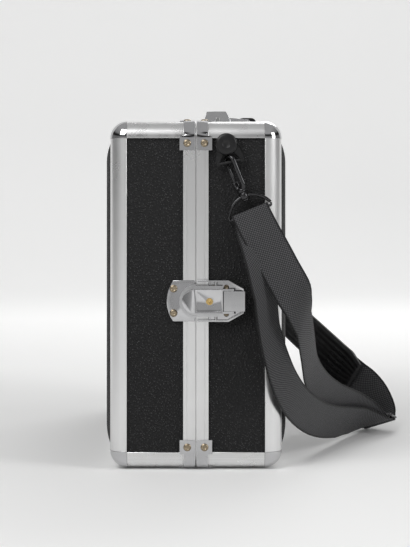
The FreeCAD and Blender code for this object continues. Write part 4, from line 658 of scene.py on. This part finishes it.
# Strap routes in the case's own frame, in millimetres: place, then the width's direction
FRONT_ROUTE = (
    (62, -242, 237, 0.92, 0.00, 0.40), (73, -245, 217, 0.91, 0.00, 0.41),
    (83, -249, 198, 0.91, 0.00, 0.41), (93, -251, 180, 0.89, 0.03, 0.43),
    (100, -246, 164, 0.58, 0.38, 0.70), (106, -235, 145, 0.34, 0.50, 0.78),
    (111, -214, 121, 0.34, 0.44, 0.82), (118, -172, 90, 0.32, 0.40, 0.85),
    (132, -130, 67, 0.32, 0.34, 0.87), (150, -88, 50, 0.36, 0.24, 0.88),
    (171, -46, 37, 0.48, 0.04, 0.84), (188, -17, 25, 0.66, -0.22, 0.66),
)
BACK_ROUTE = (
    (58, -237, 236, 0.92, 0.05, 0.37), (62, -241, 222, 0.86, 0.28, 0.36),
    (65, -246, 200, 0.74, 0.55, 0.25), (68, -249, 170, 0.58, 0.78, 0.10),
    (71, -249, 143, 0.54, 0.78, 0.18), (77, -247, 117, 0.52, 0.68, 0.42),
    (86, -236, 90, 0.50, 0.50, 0.66), (99, -210, 66, 0.50, 0.36, 0.76),
    (118, -166, 45, 0.50, 0.26, 0.82), (137, -118, 32, 0.48, 0.22, 0.84),
    (158, -70, 24, 0.50, 0.16, 0.83), (180, -27, 19, 0.62, -0.10, 0.72),
)
SLIDER = (205, 14, 12.5, 0.80, -0.45, 0.36)
RISE_ROUTE = (
    (211, 34, 10, 0.85, -0.40, 0.30), (213, 46, 19, 0.80, -0.30, 0.50),
    (205, 53, 38, 0.74, -0.15, 0.62), (195, 58, 50, 0.62, -0.10, 0.74),
)
PAD_ROUTE = (
    (184, 64, 58, 0.52, -0.10, 0.84), (170, 96, 69, 0.50, -0.10, 0.86),
    (156, 130, 81, 0.50, -0.10, 0.86), (141, 167, 94, 0.50, -0.10, 0.86),
    (125, 204, 108, 0.52, -0.08, 0.85), (107, 236, 128, 0.56, -0.04, 0.82),
    (93, 252, 150, 0.62, 0.00, 0.78),
)
TAIL_ROUTE = (
    (83, 258, 172, 0.72, 0.02, 0.68), (72, 256, 198, 0.82, 0.02, 0.56),
    (63, 248, 224, 0.90, 0.00, 0.44),
)
SLIDER_REACH, SLIDER_HALF = 0.011, 0.021

# Air between the webbing and what it passes, and where its sewn end stops on the way to the bar
ROOM, SEWN_SHARE = 0.00035, 0.3
HOOK_FRAME, RING_FRAME, HOOK_DOWN, HOOK_ACROSS, EYE = hook_frame()


def place_of(station):
    return Vector(station[:3]) / 1000, Vector(station[3:])


def strap_frames(stations):
    """Place, direction, width and normal at each station."""
    pairs = [place_of(station) for station in stations]
    result = []
    for number, (point, wide) in enumerate(pairs):
        before = pairs[max(number - 1, 0)][0]
        after = pairs[min(number + 1, len(pairs) - 1)][0]
        along = (after - before).normalized()
        wide = (wide - along * wide.dot(along)).normalized()
        result.append((point, along, wide, along.cross(wide)))
    return result


def ring_station(end):
    bar = EYE + HOOK_DOWN * RING_BAR_PLACE
    return (bar.x * 1000, bar.y * 1000 * end, bar.z * 1000, *HOOK_ACROSS)


def slider_frame():
    return strap_frames([FRONT_ROUTE[-1], SLIDER, RISE_ROUTE[0]])[1]


def round_bar(end, turns, radius):
    """Stations of the webbing's turn round one ring's bar."""
    bar = place_of(ring_station(end))[0]
    outs = [Vector((0, -end, 0)) * math.sin(turn) - HOOK_DOWN * math.cos(turn) for turn in turns]
    return [(bar + out * radius, HOOK_ACROSS, -out) for out in outs]


def webbing_line(sizes):
    """Every station of the webbing, as (place, width's direction, face's direction)."""
    sheet, room = sizes.webbing_sheet, ROOM
    line = []
    turns = [math.radians(angle) for angle in range(90, -91, -20)]
    back = strap_frames([ring_station(1), *BACK_ROUTE, SLIDER])[1:-1]
    front = strap_frames([ring_station(1), *FRONT_ROUTE, SLIDER])[1:-1]
    point, along, wide, up = slider_frame()
    under = sizes.slider_bar + room + sheet / 2
    for turn in turns:
        out = along * math.cos(turn) - up * math.sin(turn)
        line.append((point + out * under, wide, out))
    line.append((point - along * SLIDER_REACH + up * (under + sheet + room), wide, up))
    line += [(place, across, face) for place, _, across, face in reversed(back)]
    radius = sizes.ring_wire + room * 2 + sheet / 2
    line += round_bar(1, turns[::-1], radius)
    line += [(place, across, -face) for place, _, across, face in front]
    over = under + sheet + room * 2
    for shift, rise in ((-SLIDER_REACH, -under), (0, over), (SLIDER_REACH, -under)):
        line.append((point + along * shift - up * rise, wide, -up))
    below = (sizes.pad_sheet + sheet) / 2 + room
    rise_frames = strap_frames([SLIDER, *RISE_ROUTE, PAD_ROUTE[0]])[1:-1]
    for number, (place, _, across, face) in enumerate(rise_frames, 1):
        lift = below * number / (len(rise_frames) + 1)
        line.append((place + face * lift, across, -face))
    for place, _, across, face in strap_frames(PAD_ROUTE):
        line.append((place + face * below, across, -face))
    tail = strap_frames([PAD_ROUTE[-1], *TAIL_ROUTE, ring_station(-1)])[1:-1]
    for number, (place, _, across, face) in enumerate(tail, 1):
        lift = below * (1 - number / (len(tail) + 1))
        line.append((place + face * lift, across, -face))
    line += round_bar(-1, turns, radius)
    place, _, across, face = tail[-1]
    sewn = place + (place_of(ring_station(-1))[0] - place) * SEWN_SHARE
    line.append((sewn - face * (sheet + room), across, face))
    return line


# Stations nearer than this get no places between them
SHORT_GAP = 0.006


def smooth_line(line, steps=3):
    """Places between the stations on a smooth curve through them."""
    result = []
    last = len(line) - 1
    for number in range(last):
        around = [line[max(0, min(last, number + shift))] for shift in (-1, 0, 1, 2)]
        a, b, c, d = (station[0] for station in around)
        before, gap, after = (b - a).length, (c - b).length, (d - c).length
        slope_b = (c - b) if before < SAME_PLACE else ((b - a) / before * gap + (c - b)) / 2
        slope_c = (c - b) if after < SAME_PLACE else ((d - c) / after * gap + (c - b)) / 2
        count = steps if gap > SHORT_GAP else 1
        for step in range(count):
            t = step / count
            h = t * t * (3 - 2 * t)
            place = (
                b * (1 - h) + c * h + slope_b * (t * (1 - t) ** 2) - slope_c * (t * t * (1 - t))
            )
            here, ahead = around[1], around[2]
            ways = [(here[part] * (1 - t) + ahead[part] * t).normalized() for part in (1, 2)]
            result.append((place, *ways))
    result.append(line[-1])
    return result


# Operators
class StageMaker(bpy.types.Operator):
    """Makes the floor and backdrop, the lamps and the camera"""

    bl_idname = "case.stage"
    bl_label = "Stage"

    # Name, place, what it looks at, size, and share of the main lamp's power
    LAMPS = (
        ("Main lamp", (-1.1, -1.7, 1.9), (0.0, -0.2, 0.15), 1.3, 1.0),
        ("Side lamp", (1.9, -1.1, 1.1), (0.05, 0.0, 0.15), 0.8, 0.42),
        ("Back lamp", (0.6, 1.6, 1.8), (0.0, 0.0, 0.2), 1.0, 0.35),
    )

    # Half the floor's width and depth, where it starts to bend upwards, and the bend's radius
    FLOOR_WIDE, FLOOR_DEEP, FLOOR_BACK, BEND = 6.0, 4.0, 2.4, 1.2
    FLOOR_DROP, WALL_HEIGHT = 0.0002, 4.0

    # From one distance behind the case to the other, the glow goes from one level to the other
    GLOW_PLACES, GLOW_LEVELS = (0.2, 1.6), (0.03, 0.36)

    # Height from below (0) to overhead (1), and brightness, with a dark band above the horizon
    SKY = (
        (0.0, 0.6), (0.49, 1.0), (0.61, 1.0), (0.65, 0.06), (0.70, 0.10), (0.76, 1.0),
        (1.0, 1.0),
    )

    def execute(self, context):
        scene = context.scene
        studio = scene.case_studio
        colours = scene.case_colours
        scene.view_settings.view_transform = "Standard"
        self.backdrop(colours)
        self.sky(scene, studio)
        for name, place, target, size, part in self.LAMPS:
            self.lamp(name, place, target, size, studio.lamp * part)
        self.camera(scene, studio)
        return {"FINISHED"}

    def backdrop(self, colours):
        bm = bmesh.new()
        made = bmesh.ops.create_grid(
            bm, x_segments=1, y_segments=1, size=1.0,
            matrix=Matrix.Translation((0, 0, -self.FLOOR_DROP)),
        )
        bmesh.ops.scale(bm, vec=(self.FLOOR_WIDE, self.FLOOR_DEEP, 1), verts=made["verts"])
        shift = (0, self.FLOOR_BACK - self.FLOOR_DEEP, 0)
        bmesh.ops.translate(bm, verts=made["verts"], vec=shift)
        edge = [e for e in bm.edges if all(v.co.y > 0 for v in e.verts)]
        bmesh.ops.spin(
            bm, geom=edge + [v for e in edge for v in e.verts], axis=(1, 0, 0),
            cent=(0, self.FLOOR_BACK, self.BEND), angle=math.radians(90), steps=12,
        )
        top = [e for e in bm.edges if all(v.co.z > self.BEND * 0.95 for v in e.verts)]
        made = bmesh.ops.extrude_edge_only(bm, edges=top)
        verts = only(made["geom"], bmesh.types.BMVert)
        bmesh.ops.translate(bm, verts=verts, vec=(0, 0, self.WALL_HEIGHT))
        outward(bm)
        finish = Finish("studio_floor", colours.floor, 0.0, 0.75, Specular_IOR_Level=0.2)
        cloud = noise(finish.tree, finish.place, 1.3, 2.0)
        finish.tint(cloud, finish.base, finish.darker(0.96))
        path = add(finish.tree, "ShaderNodeLightPath")
        seen = plus(finish.tree, path.outputs["Is Camera Ray"], path.outputs["Is Glossy Ray"])
        seen = plus(finish.tree, seen, path.outputs["Is Transmission Ray"])
        finish.shader.inputs["Emission Color"].default_value = (1.0, 1.0, 1.0, 1.0)
        behind = split(finish.tree, finish.place)["Y"]
        glow = ranged(finish.tree, behind, *self.GLOW_PLACES, *self.GLOW_LEVELS)
        finish.link(times(finish.tree, seen, glow), "Emission Strength")
        floor = to_object("studio_floor_sweep", bm, "studio_floor")

    def sky(self, scene, studio):
        world = bpy.data.worlds.new("Studio light")
        world.use_nodes = True
        scene.world = world
        tree = world.node_tree
        ground = tree.nodes["Background"]
        ground.inputs["Strength"].default_value = studio.sky
        parts = split(tree, add(tree, "ShaderNodeTexCoord").outputs["Generated"])
        height = ranged(tree, parts["Z"], -1.0, 1.0, 0.0, 1.0)
        ramp = add(tree, "ShaderNodeValToRGB", in_0=height)
        first, *middle, last = self.SKY
        for height, level in middle:
            ramp.color_ramp.elements.new(height).color = (level, level, level, 1)
        ramp.color_ramp.elements[0].color = (first[1],) * 3 + (1,)
        ramp.color_ramp.elements[-1].color = (last[1],) * 3 + (1,)
        side = maths(tree, "ABSOLUTE", parts["X"])
        dim = ranged(tree, side, 0.55, 0.95, 1.0, 0.45)
        tone = add(
            tree, "ShaderNodeMix", data_type="RGBA", blend_type="MULTIPLY", in_0=1.0,
            in_6=ramp.outputs[0], in_7=dim,
        )
        tree.links.new(tone.outputs[2], ground.inputs["Color"])

    def lamp(self, name, place, target, size, power):
        light = bpy.data.lights.new(name, "AREA")
        light.shape = "RECTANGLE"
        light.size, light.size_y = size, size * 1.2
        light.energy = power
        piece = placed(name, light)
        piece.location = place
        piece.rotation_euler = (Vector(place) - Vector(target)).to_track_quat("Z", "Y").to_euler()

    def camera(self, scene, studio):
        data = bpy.data.cameras.new("Camera")
        data.sensor_width = SENSOR
        data.lens = PHOTO_FOCUS / PHOTO_HEIGHT * SENSOR
        data.shift_x = PHOTO_SHIFT[0] / PHOTO_HEIGHT
        data.shift_y = PHOTO_SHIFT[1] / PHOTO_HEIGHT
        data.clip_start = 0.05
        piece = placed("Camera", data)
        piece.location = (studio.sideways, NEAR_FACE - studio.distance, studio.eye_height)
        piece.rotation_euler = (math.radians(90), 0, 0)
        scene.camera = piece


class FinishMaker(bpy.types.Operator):
    """Makes the finishes that every piece shares"""

    bl_idname = "case.finishes"
    bl_label = "Finishes"

    def execute(self, context):
        make_finishes()
        return {"FINISHED"}


class PanelMaker(bpy.types.Operator):
    """Covers the panels in pebbled board and lines the inside with cloth"""

    bl_idname = "case.panels"
    bl_label = "Panels and lining"

    def execute(self, context):
        for half in HALVES:
            for side in ("bottom", "top", "near", "far"):
                paint(f"{half}_{side}_panel", "black_board")
            refined(f"{half}_main_panel", "black_board", angle=30.0)
            refined(f"{half}_lining", "lining_cloth", 0.0008)
        return {"FINISHED"}


class Refiner:
    """Refines a list of CAD nodes, each with a finish and its share of the edge rounding."""

    def execute(self, context):
        edge = context.scene.case_sizes.edge_round
        for node, finish, part in self.PIECES:
            refined(node, finish, edge * part)
        return {"FINISHED"}


class EdgeMaker(Refiner, bpy.types.Operator):
    """Makes the quarter-round extrusions and the seam frames"""

    bl_idname = "case.edges"
    bl_label = "Extrusions and frames"

    PIECES = [
        (f"{half}_{piece}", finish, part)
        for half in HALVES
        for piece, finish, part in (
            ("main_edges", "satin_aluminium", 1.0),
            ("side_edges", "side_aluminium", 1.0),
            ("seam_frame", "satin_aluminium", 0.7),
        )
    ]


class CornerMaker(bpy.types.Operator):
    """Makes the ball corners and the corner braces"""

    bl_idname = "case.corners"
    bl_label = "Ball corners and braces"

    def execute(self, context):
        sizes = context.scene.case_sizes
        for half in HALVES:
            refined(f"{half}_corner_braces", "mirror_chrome", sizes.edge_round)
            refined(f"{half}_ball_corners", "mirror_chrome", angle=50.0)
        return {"FINISHED"}


class RivetMaker(bpy.types.Operator):
    """Makes domed rivet heads with a ring and a shallow dish"""

    bl_idname = "case.rivets"
    bl_label = "Rivets"

    NODES = (
        "base_brace_rivets", "lid_brace_rivets", "hinge_rivets_base", "hinge_rivets_lid",
        "latch_base_rivets", "latch_catch_rivets",
    )

    # Radius and height, as shares of the CAD head's
    PROFILE = (
        (0.0, 0.62), (0.26, 0.64), (0.40, 0.72), (0.47, 0.97), (0.58, 1.0), (0.76, 0.86),
        (0.90, 0.56), (0.98, 0.22), (1.0, 0.0), (0.0, 0.0),
    )

    def execute(self, context):
        for node in self.NODES:
            bm = bmesh.new()
            for low, high in islands(node):
                span = high - low
                axis = min(range(3), key=lambda index: span[index])
                seat = (low + high) / 2
                outer = seat[axis] > (MIDDLE_LEVEL if axis == 2 else 0.0)
                direction = Vector()
                direction[axis] = 1 if outer else -1
                seat[axis] = low[axis] if outer else high[axis]
                radius = max(span) / 2
                points = [(r * radius, h * span[axis]) for r, h in self.PROFILE]
                turned(bm, points, facing(seat, direction), 20)
            finished(bm, node, "old_bronze", 70.0)
        return {"FINISHED"}


class HingeMaker(Refiner, bpy.types.Operator):
    """Makes the two hinges and their pins"""

    bl_idname = "case.hinges"
    bl_label = "Hinges"

    PIECES = (
        ("hinge_leaves_base", "mirror_chrome", 0.8),
        ("hinge_leaves_lid", "mirror_chrome", 0.8),
        ("hinge_pins", "pin_steel", 1.0),
    )


class LatchMaker(Refiner, bpy.types.Operator):
    """Makes the draw latch: catch, base, lever, hasp, key cylinder and pins"""

    bl_idname = "case.latch"
    bl_label = "Latch"

    PIECES = (
        ("latch_catch_plate", "mirror_chrome", 1.6),
        ("latch_base", "mirror_chrome", 1.6),
        ("latch_lever", "mirror_chrome", 1.8),
        ("latch_hasp", "mirror_chrome", 1.8),
        ("latch_key_cylinder", "lock_brass", 0.6),
        ("latch_lever_pin", "pin_steel", 0.8),
        ("latch_hasp_pin", "pin_steel", 0.8),
    )


class HandleMaker(Refiner, bpy.types.Operator):
    """Makes the handle: brackets, pins, bail and grip"""

    bl_idname = "case.handle"
    bl_label = "Handle"

    PIECES = (
        ("handle_brackets", "mirror_chrome", 2.0),
        ("handle_pivot_pins", "pin_steel", 1.0),
        ("handle_bail", "mirror_chrome", 1.4),
        ("handle_grip", "black_plastic", 2.0),
    )


class AnchorMaker(bpy.types.Operator):
    """Makes the strap anchors and their loops"""

    bl_idname = "case.anchors"
    bl_label = "Strap anchors"

    CAP = (
        (0.0, 0.0), (0.0057, 0.0), (0.0057, 0.0056), (0.0054, 0.0059), (0.0045, 0.0059),
        (0.0045, 0.0098), (0.0100, 0.0098), (0.0106, 0.0104), (0.0105, 0.0113),
        (0.0098, 0.0121), (0.0084, 0.0126), (0.0060, 0.01285), (0.0042, 0.01285),
        (0.0037, 0.0124), (0.0, 0.0122),
    )

    def execute(self, context):
        edge = context.scene.case_sizes.edge_round
        for end, side in ENDS:
            node = f"{end}_strap_anchor"
            low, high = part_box(node)
            middle = (low + high) / 2
            seat = high.y if side > 0 else low.y
            rise = (high.y - low.y) / max(h for _, h in self.CAP)
            radius = (high.x - low.x) / 2 / max(r for r, _ in self.CAP)
            points = [(r * radius, h * rise) for r, h in self.CAP]
            bm = bmesh.new()
            place = Vector((middle.x, seat, middle.z))
            turned(bm, points, facing(place, (0, -side, 0)), 40)
            finished(bm, node, "black_plastic", 40.0)
            refined(f"{end}_anchor_loop", "black_plastic", edge)
        return {"FINISHED"}


class HookMaker(bpy.types.Operator):
    """Makes the snap hooks, their gates and the strap rings"""

    bl_idname = "case.hooks"
    bl_label = "Hooks and rings"

    def execute(self, context):
        sizes = context.scene.case_sizes
        for end, side in ENDS:
            for node, maker, place in (
                (f"{end}_hook", self.hook, HOOK_FRAME),
                (f"{end}_hook_gate", self.gate, HOOK_FRAME),
                (f"{end}_strap_ring", self.ring, RING_FRAME),
            ):
                bm = bmesh.new()
                maker(bm, sizes)
                bmesh.ops.transform(bm, matrix=place, verts=bm.verts)
                if side < 0:
                    bmesh.ops.scale(bm, vec=(1, -1, 1), verts=bm.verts)
                round_edges(finished(bm, node, "black_metal", 40.0), 0.00025)
        return {"FINISHED"}

    # The eye's radius, the spine's length, and how far down the gate's hinge sits
    EYE, SPINE, GATE_SEAT = 0.0055, 0.024, -0.0205

    # The bar's half length, its corner and legs, and where the swivel boss starts
    RING_HALF, RING_CORNER, RING_LEG, RING_BOSS = 0.0218, 0.0016, 0.003, -0.0388
    RING_CROWN = -0.0358

    # Size of the ears that hold the gate, and where each one starts
    EAR, EARS = (0.0032, 0.0012, 0.0060), (0.0016, -0.0028)

    SWIVEL = (
        (0, 0), (0.0022, 0), (0.0028, 0.0006), (0.0028, 0.0016), (0.0018, 0.0020),
        (0.0018, 0.0092), (0.0040, 0.0092), (0.0042, 0.0096), (0.0042, 0.0118),
        (0.0038, 0.0124), (0.0024, 0.0140), (0, 0.0144),
    )
    SWIVEL_SEAT = -0.0409
    BOSS = (
        (0.0019, 0), (0.0037, 0), (0.0042, 0.0006), (0.0042, 0.0054), (0.0037, 0.0060),
        (0.0019, 0.0060), (0.0019, 0),
    )

    def hook(self, bm, sizes):
        rod = Rod(bm, sizes.hook_wire, (self.EYE, 0, -0.0002), (0, 0, -1), 18)
        rod.turn((0, 0, 0), (0, 1, 0), -180, 16).run((0, 0, -self.SPINE))
        rod.turn((0, 0, -self.SPINE), (0, 1, 0), -180, 16).close()
        for low in self.EARS:
            made = bmesh.ops.create_cube(bm, size=1.0)
            bmesh.ops.scale(bm, vec=self.EAR, verts=made["verts"])
            middle = (self.EYE, low + self.EAR[1] / 2, -0.0226)
            bmesh.ops.translate(bm, verts=made["verts"], vec=middle)
        place = facing((self.EYE, -0.0031, self.GATE_SEAT), (0, 1, 0))
        turned(bm, ((0, 0), (0.0011, 0), (0.0011, 0.0062), (0, 0.0062)), place, 14)
        turned(bm, self.SWIVEL, facing((0, 0, self.SWIVEL_SEAT), (0, 0, 1)), 28)

    def gate(self, bm, sizes):
        wire = sizes.gate_wire
        turned(bm, (
            (0, 0), (wire * 0.8, 0.0), (wire * 0.95, 0.0004), (wire * 0.95, 0.0186),
            (wire * 0.8, 0.0190), (wire * 0.45, 0.0193), (0, 0.0193),
        ), facing((self.EYE, 0, self.GATE_SEAT), (0, 0, 1)), 18)
        turned(bm, (
            (0.0009, 0), (wire, 0), (wire, 0.0029), (0.0009, 0.0029), (0.0009, 0),
        ), facing((self.EYE, -0.00145, self.GATE_SEAT), (0, 1, 0)), 18)

    def ring(self, bm, sizes):
        half, corner, leg = self.RING_HALF, self.RING_CORNER, self.RING_LEG
        low, crown = -RING_BAR_PLACE, self.RING_CROWN
        rise = crown - low - leg
        arch = (half ** 2 + rise ** 2) / (rise * 2)
        span = math.degrees(math.asin(half / arch))
        rod = Rod(bm, sizes.ring_wire, (half, 0, low + leg), (0, 0, 1), 16)
        rod.turn((0, 0, crown - arch), (0, 1, 0), -2 * span, 28)
        rod.run((0, 0, corner - leg)).turn((corner - half, 0, low + corner), (0, 1, 0), -90, 6)
        rod.run((2 * (half - corner), 0, 0))
        rod.turn((half - corner, 0, low + corner), (0, 1, 0), -90, 6).run((0, 0, leg - corner))
        bmesh.ops.remove_doubles(bm, verts=bm.verts, dist=0.00012)
        turned(bm, self.BOSS, facing((0, 0, self.RING_BOSS), (0, 0, 1)), 28)


class WebbingMaker(bpy.types.Operator):
    """Makes the strap's webbing, threaded through its rings and slider"""

    bl_idname = "case.webbing"
    bl_label = "Webbing"

    ROW = 4

    def execute(self, context):
        sizes = context.scene.case_sizes
        line = smooth_line(webbing_line(sizes))
        width = sizes.webbing_width
        bm = bmesh.new()
        layer = bm.loops.layers.uv.new("Strap map")
        place, wide, _ = line[0]
        shares = [number / self.ROW - 0.5 for number in range(self.ROW + 1)]
        row = [bm.verts.new(place + wide * (width * share)) for share in shares]
        edges = [bm.edges.new(pair) for pair in zip(row, row[1:])]
        run = {vert: (share, 0.0) for vert, share in zip(row, shares)}
        total = 0.0
        for before, (place, wide, _) in zip(line, line[1:]):
            total += (place - before[0]).length
            made = bmesh.ops.extrude_edge_only(bm, edges=edges)
            ahead = {}
            for vert in only(made["geom"], bmesh.types.BMVert):
                others = (e.other_vert(vert) for e in vert.link_edges)
                ahead[vert] = next(run[mate][0] for mate in others if mate in run)
            for vert, value in ahead.items():
                vert.co = place + wide * (width * value)
                run[vert] = (value, total)
            fresh = only(made["geom"], bmesh.types.BMEdge)
            edges = [e for e in fresh if all(v in ahead for v in e.verts)]
        for polygon in bm.faces:
            for loop in polygon.loops:
                value, along = run[loop.vert]
                loop[layer].uv = ((value + 0.5) * width, along)
        piece = to_object("strap_webbing_dressed", bm, "webbing", 60.0)
        sheet = piece.modifiers.new("Thickness", "SOLIDIFY")
        sheet.thickness = sizes.webbing_sheet
        sheet.offset = 0.0
        round_edges(piece, 0.0004, 60.0)
        dress(piece, "strap_webbing")
        return {"FINISHED"}


class SliderMaker(bpy.types.Operator):
    """Makes the strap's slider: a rounded frame with a middle bar"""

    bl_idname = "case.slider"
    bl_label = "Slider"

    def execute(self, context):
        point, along, wide, up = slider_frame()
        bar, corner = context.scene.case_sizes.slider_bar, 0.0018
        half = SLIDER_HALF
        x, y = SLIDER_REACH - corner, half - corner
        bm = bmesh.new()
        rod = Rod(bm, bar, (SLIDER_REACH, 0, 0), (0, 1, 0), 14).run((0, y, 0))
        for centre, onward in (
            ((x, y, 0), (-2 * x, 0, 0)), ((-x, y, 0), (0, -2 * y, 0)),
            ((-x, -y, 0), (2 * x, 0, 0)), ((x, -y, 0), (0, y, 0)),
        ):
            rod.turn(centre, (0, 0, 1), 90, 6).run(onward)
        bmesh.ops.remove_doubles(bm, verts=bm.verts, dist=0.00008)
        turned(bm, (
            (0, 0), (bar * 1.05, 0), (bar * 1.05, half * 2), (0, half * 2),
        ), facing((0, -half, 0), (0, 1, 0)), 14)
        bmesh.ops.transform(bm, matrix=axes(along, wide, up, point), verts=bm.verts)
        finished(bm, "strap_slider", "black_metal", 50.0)
        return {"FINISHED"}


class PadMaker(bpy.types.Operator):
    """Makes the ribbed shoulder pad with a grid of pockets at each end"""

    bl_idname = "case.pad"
    bl_label = "Shoulder pad"

    RIBS = 7

    # Share of the full section on each ring, counted from either end of the pad
    TAPER = (0.72, 0.80, 0.88, 0.95, 1.0)

    def execute(self, context):
        sizes = context.scene.case_sizes
        half, sheet = sizes.pad_width / 2, sizes.pad_sheet / 2
        line = smooth_line([(p, w, f) for p, _, w, f in strap_frames(PAD_ROUTE)], 5)
        bm = bmesh.new()
        section = self.section(half, sheet)
        rings = []
        last = len(line) - 1
        for number, (place, wide, face) in enumerate(line):
            grow = self.TAPER[min(number, last - number, len(self.TAPER) - 1)]
            matrix = axes(wide, face, wide.cross(face), place)
            ring = [bm.verts.new(matrix @ Vector((x * grow, y * grow, 0))) for x, y in section]
            if rings:
                loops = []
                for band in (rings[-1], ring):
                    pairs = zip(band, band[1:] + band[:1])
                    loops += [bm.edges.get(pair) or bm.edges.new(pair) for pair in pairs]
                bmesh.ops.bridge_loops(bm, edges=loops)
            rings.append(ring)
        for band in (rings[0], rings[-1]):
            bm.faces.new(band)
        outward(bm)
        self.pockets(bm, rings)
        piece = finished(bm, "shoulder_pad", "pad_rubber", 40.0)
        round_edges(piece, 0.0004)
        return {"FINISHED"}

    def section(self, half, sheet):
        """Points round the pad: ribbed outside, flat underneath, thinner at its sides."""
        count = self.RIBS * 4
        top = []
        for number in range(count + 1):
            x = half * (number / count * 2 - 1) * 0.97
            crown = 1 - 0.42 * (x / half) ** 4
            rib = 1.0 if number % 4 in (1, 2) else 0.72
            top.append((x, -sheet * crown * rib))
        side = [(half, -sheet * 0.25), (half, sheet * 0.55), (half * 0.94, sheet * 0.95)]
        return top + side + [(0.0, sheet), (-half * 0.94, sheet * 0.95),
                             (-half, sheet * 0.55), (-half, -sheet * 0.25)]

    def pockets(self, bm, rings):
        """Sinks alternate cells of the ribbed face near each end."""
        bm.faces.ensure_lookup_table()
        chosen = []
        count = self.RIBS * 4
        for number in (3, 5, 7, len(rings) - 9, len(rings) - 7, len(rings) - 5):
            for place in range(5, count - 4, 4):
                corners = {rings[number][place], rings[number][place + 1],
                           rings[number + 1][place], rings[number + 1][place + 1]}
                chosen += [f for f in rings[number][place].link_faces if set(f.verts) == corners]
        bmesh.ops.inset_individual(
            bm, faces=chosen, thickness=0.0003, depth=-0.0012, use_even_offset=True
        )


class CASE_PT_panel(bpy.types.Panel):
    """Lists the makers of the case and what they use"""

    bl_label = "Sample case"
    bl_idname = "CASE_PT_panel"
    bl_space_type = "VIEW_3D"
    bl_region_type = "UI"
    bl_category = "Sample case"

    def draw(self, context):
        layout = self.layout
        for maker in MAKERS:
            layout.operator(maker.bl_idname)
        for group in ("case_sizes", "case_colours", "case_studio"):
            box = layout.box()
            settings = getattr(context.scene, group)
            for name in settings.__annotations__:
                box.prop(settings, name)


MAKERS = (
    StageMaker, FinishMaker, PanelMaker, EdgeMaker, CornerMaker, RivetMaker, HingeMaker,
    LatchMaker, HandleMaker, AnchorMaker, HookMaker, WebbingMaker, SliderMaker, PadMaker,
)
SETTINGS = {"case_sizes": CaseSizes, "case_colours": CaseColours, "case_studio": CaseStudio}


def register():
    for name, group in SETTINGS.items():
        bpy.utils.register_class(group)
        setattr(bpy.types.Scene, name, PointerProperty(type=group))
    for maker in MAKERS:
        bpy.utils.register_class(maker)
    bpy.utils.register_class(CASE_PT_panel)


def unregister():
    bpy.utils.unregister_class(CASE_PT_panel)
    for maker in reversed(MAKERS):
        bpy.utils.unregister_class(maker)
    for name, group in SETTINGS.items():
        delattr(bpy.types.Scene, name)
        bpy.utils.unregister_class(group)


def main():
    register()
    for maker in MAKERS:
        group, name = maker.bl_idname.split(".")
        getattr(getattr(bpy.ops, group), name)()


if __name__ == "__main__":
    main()
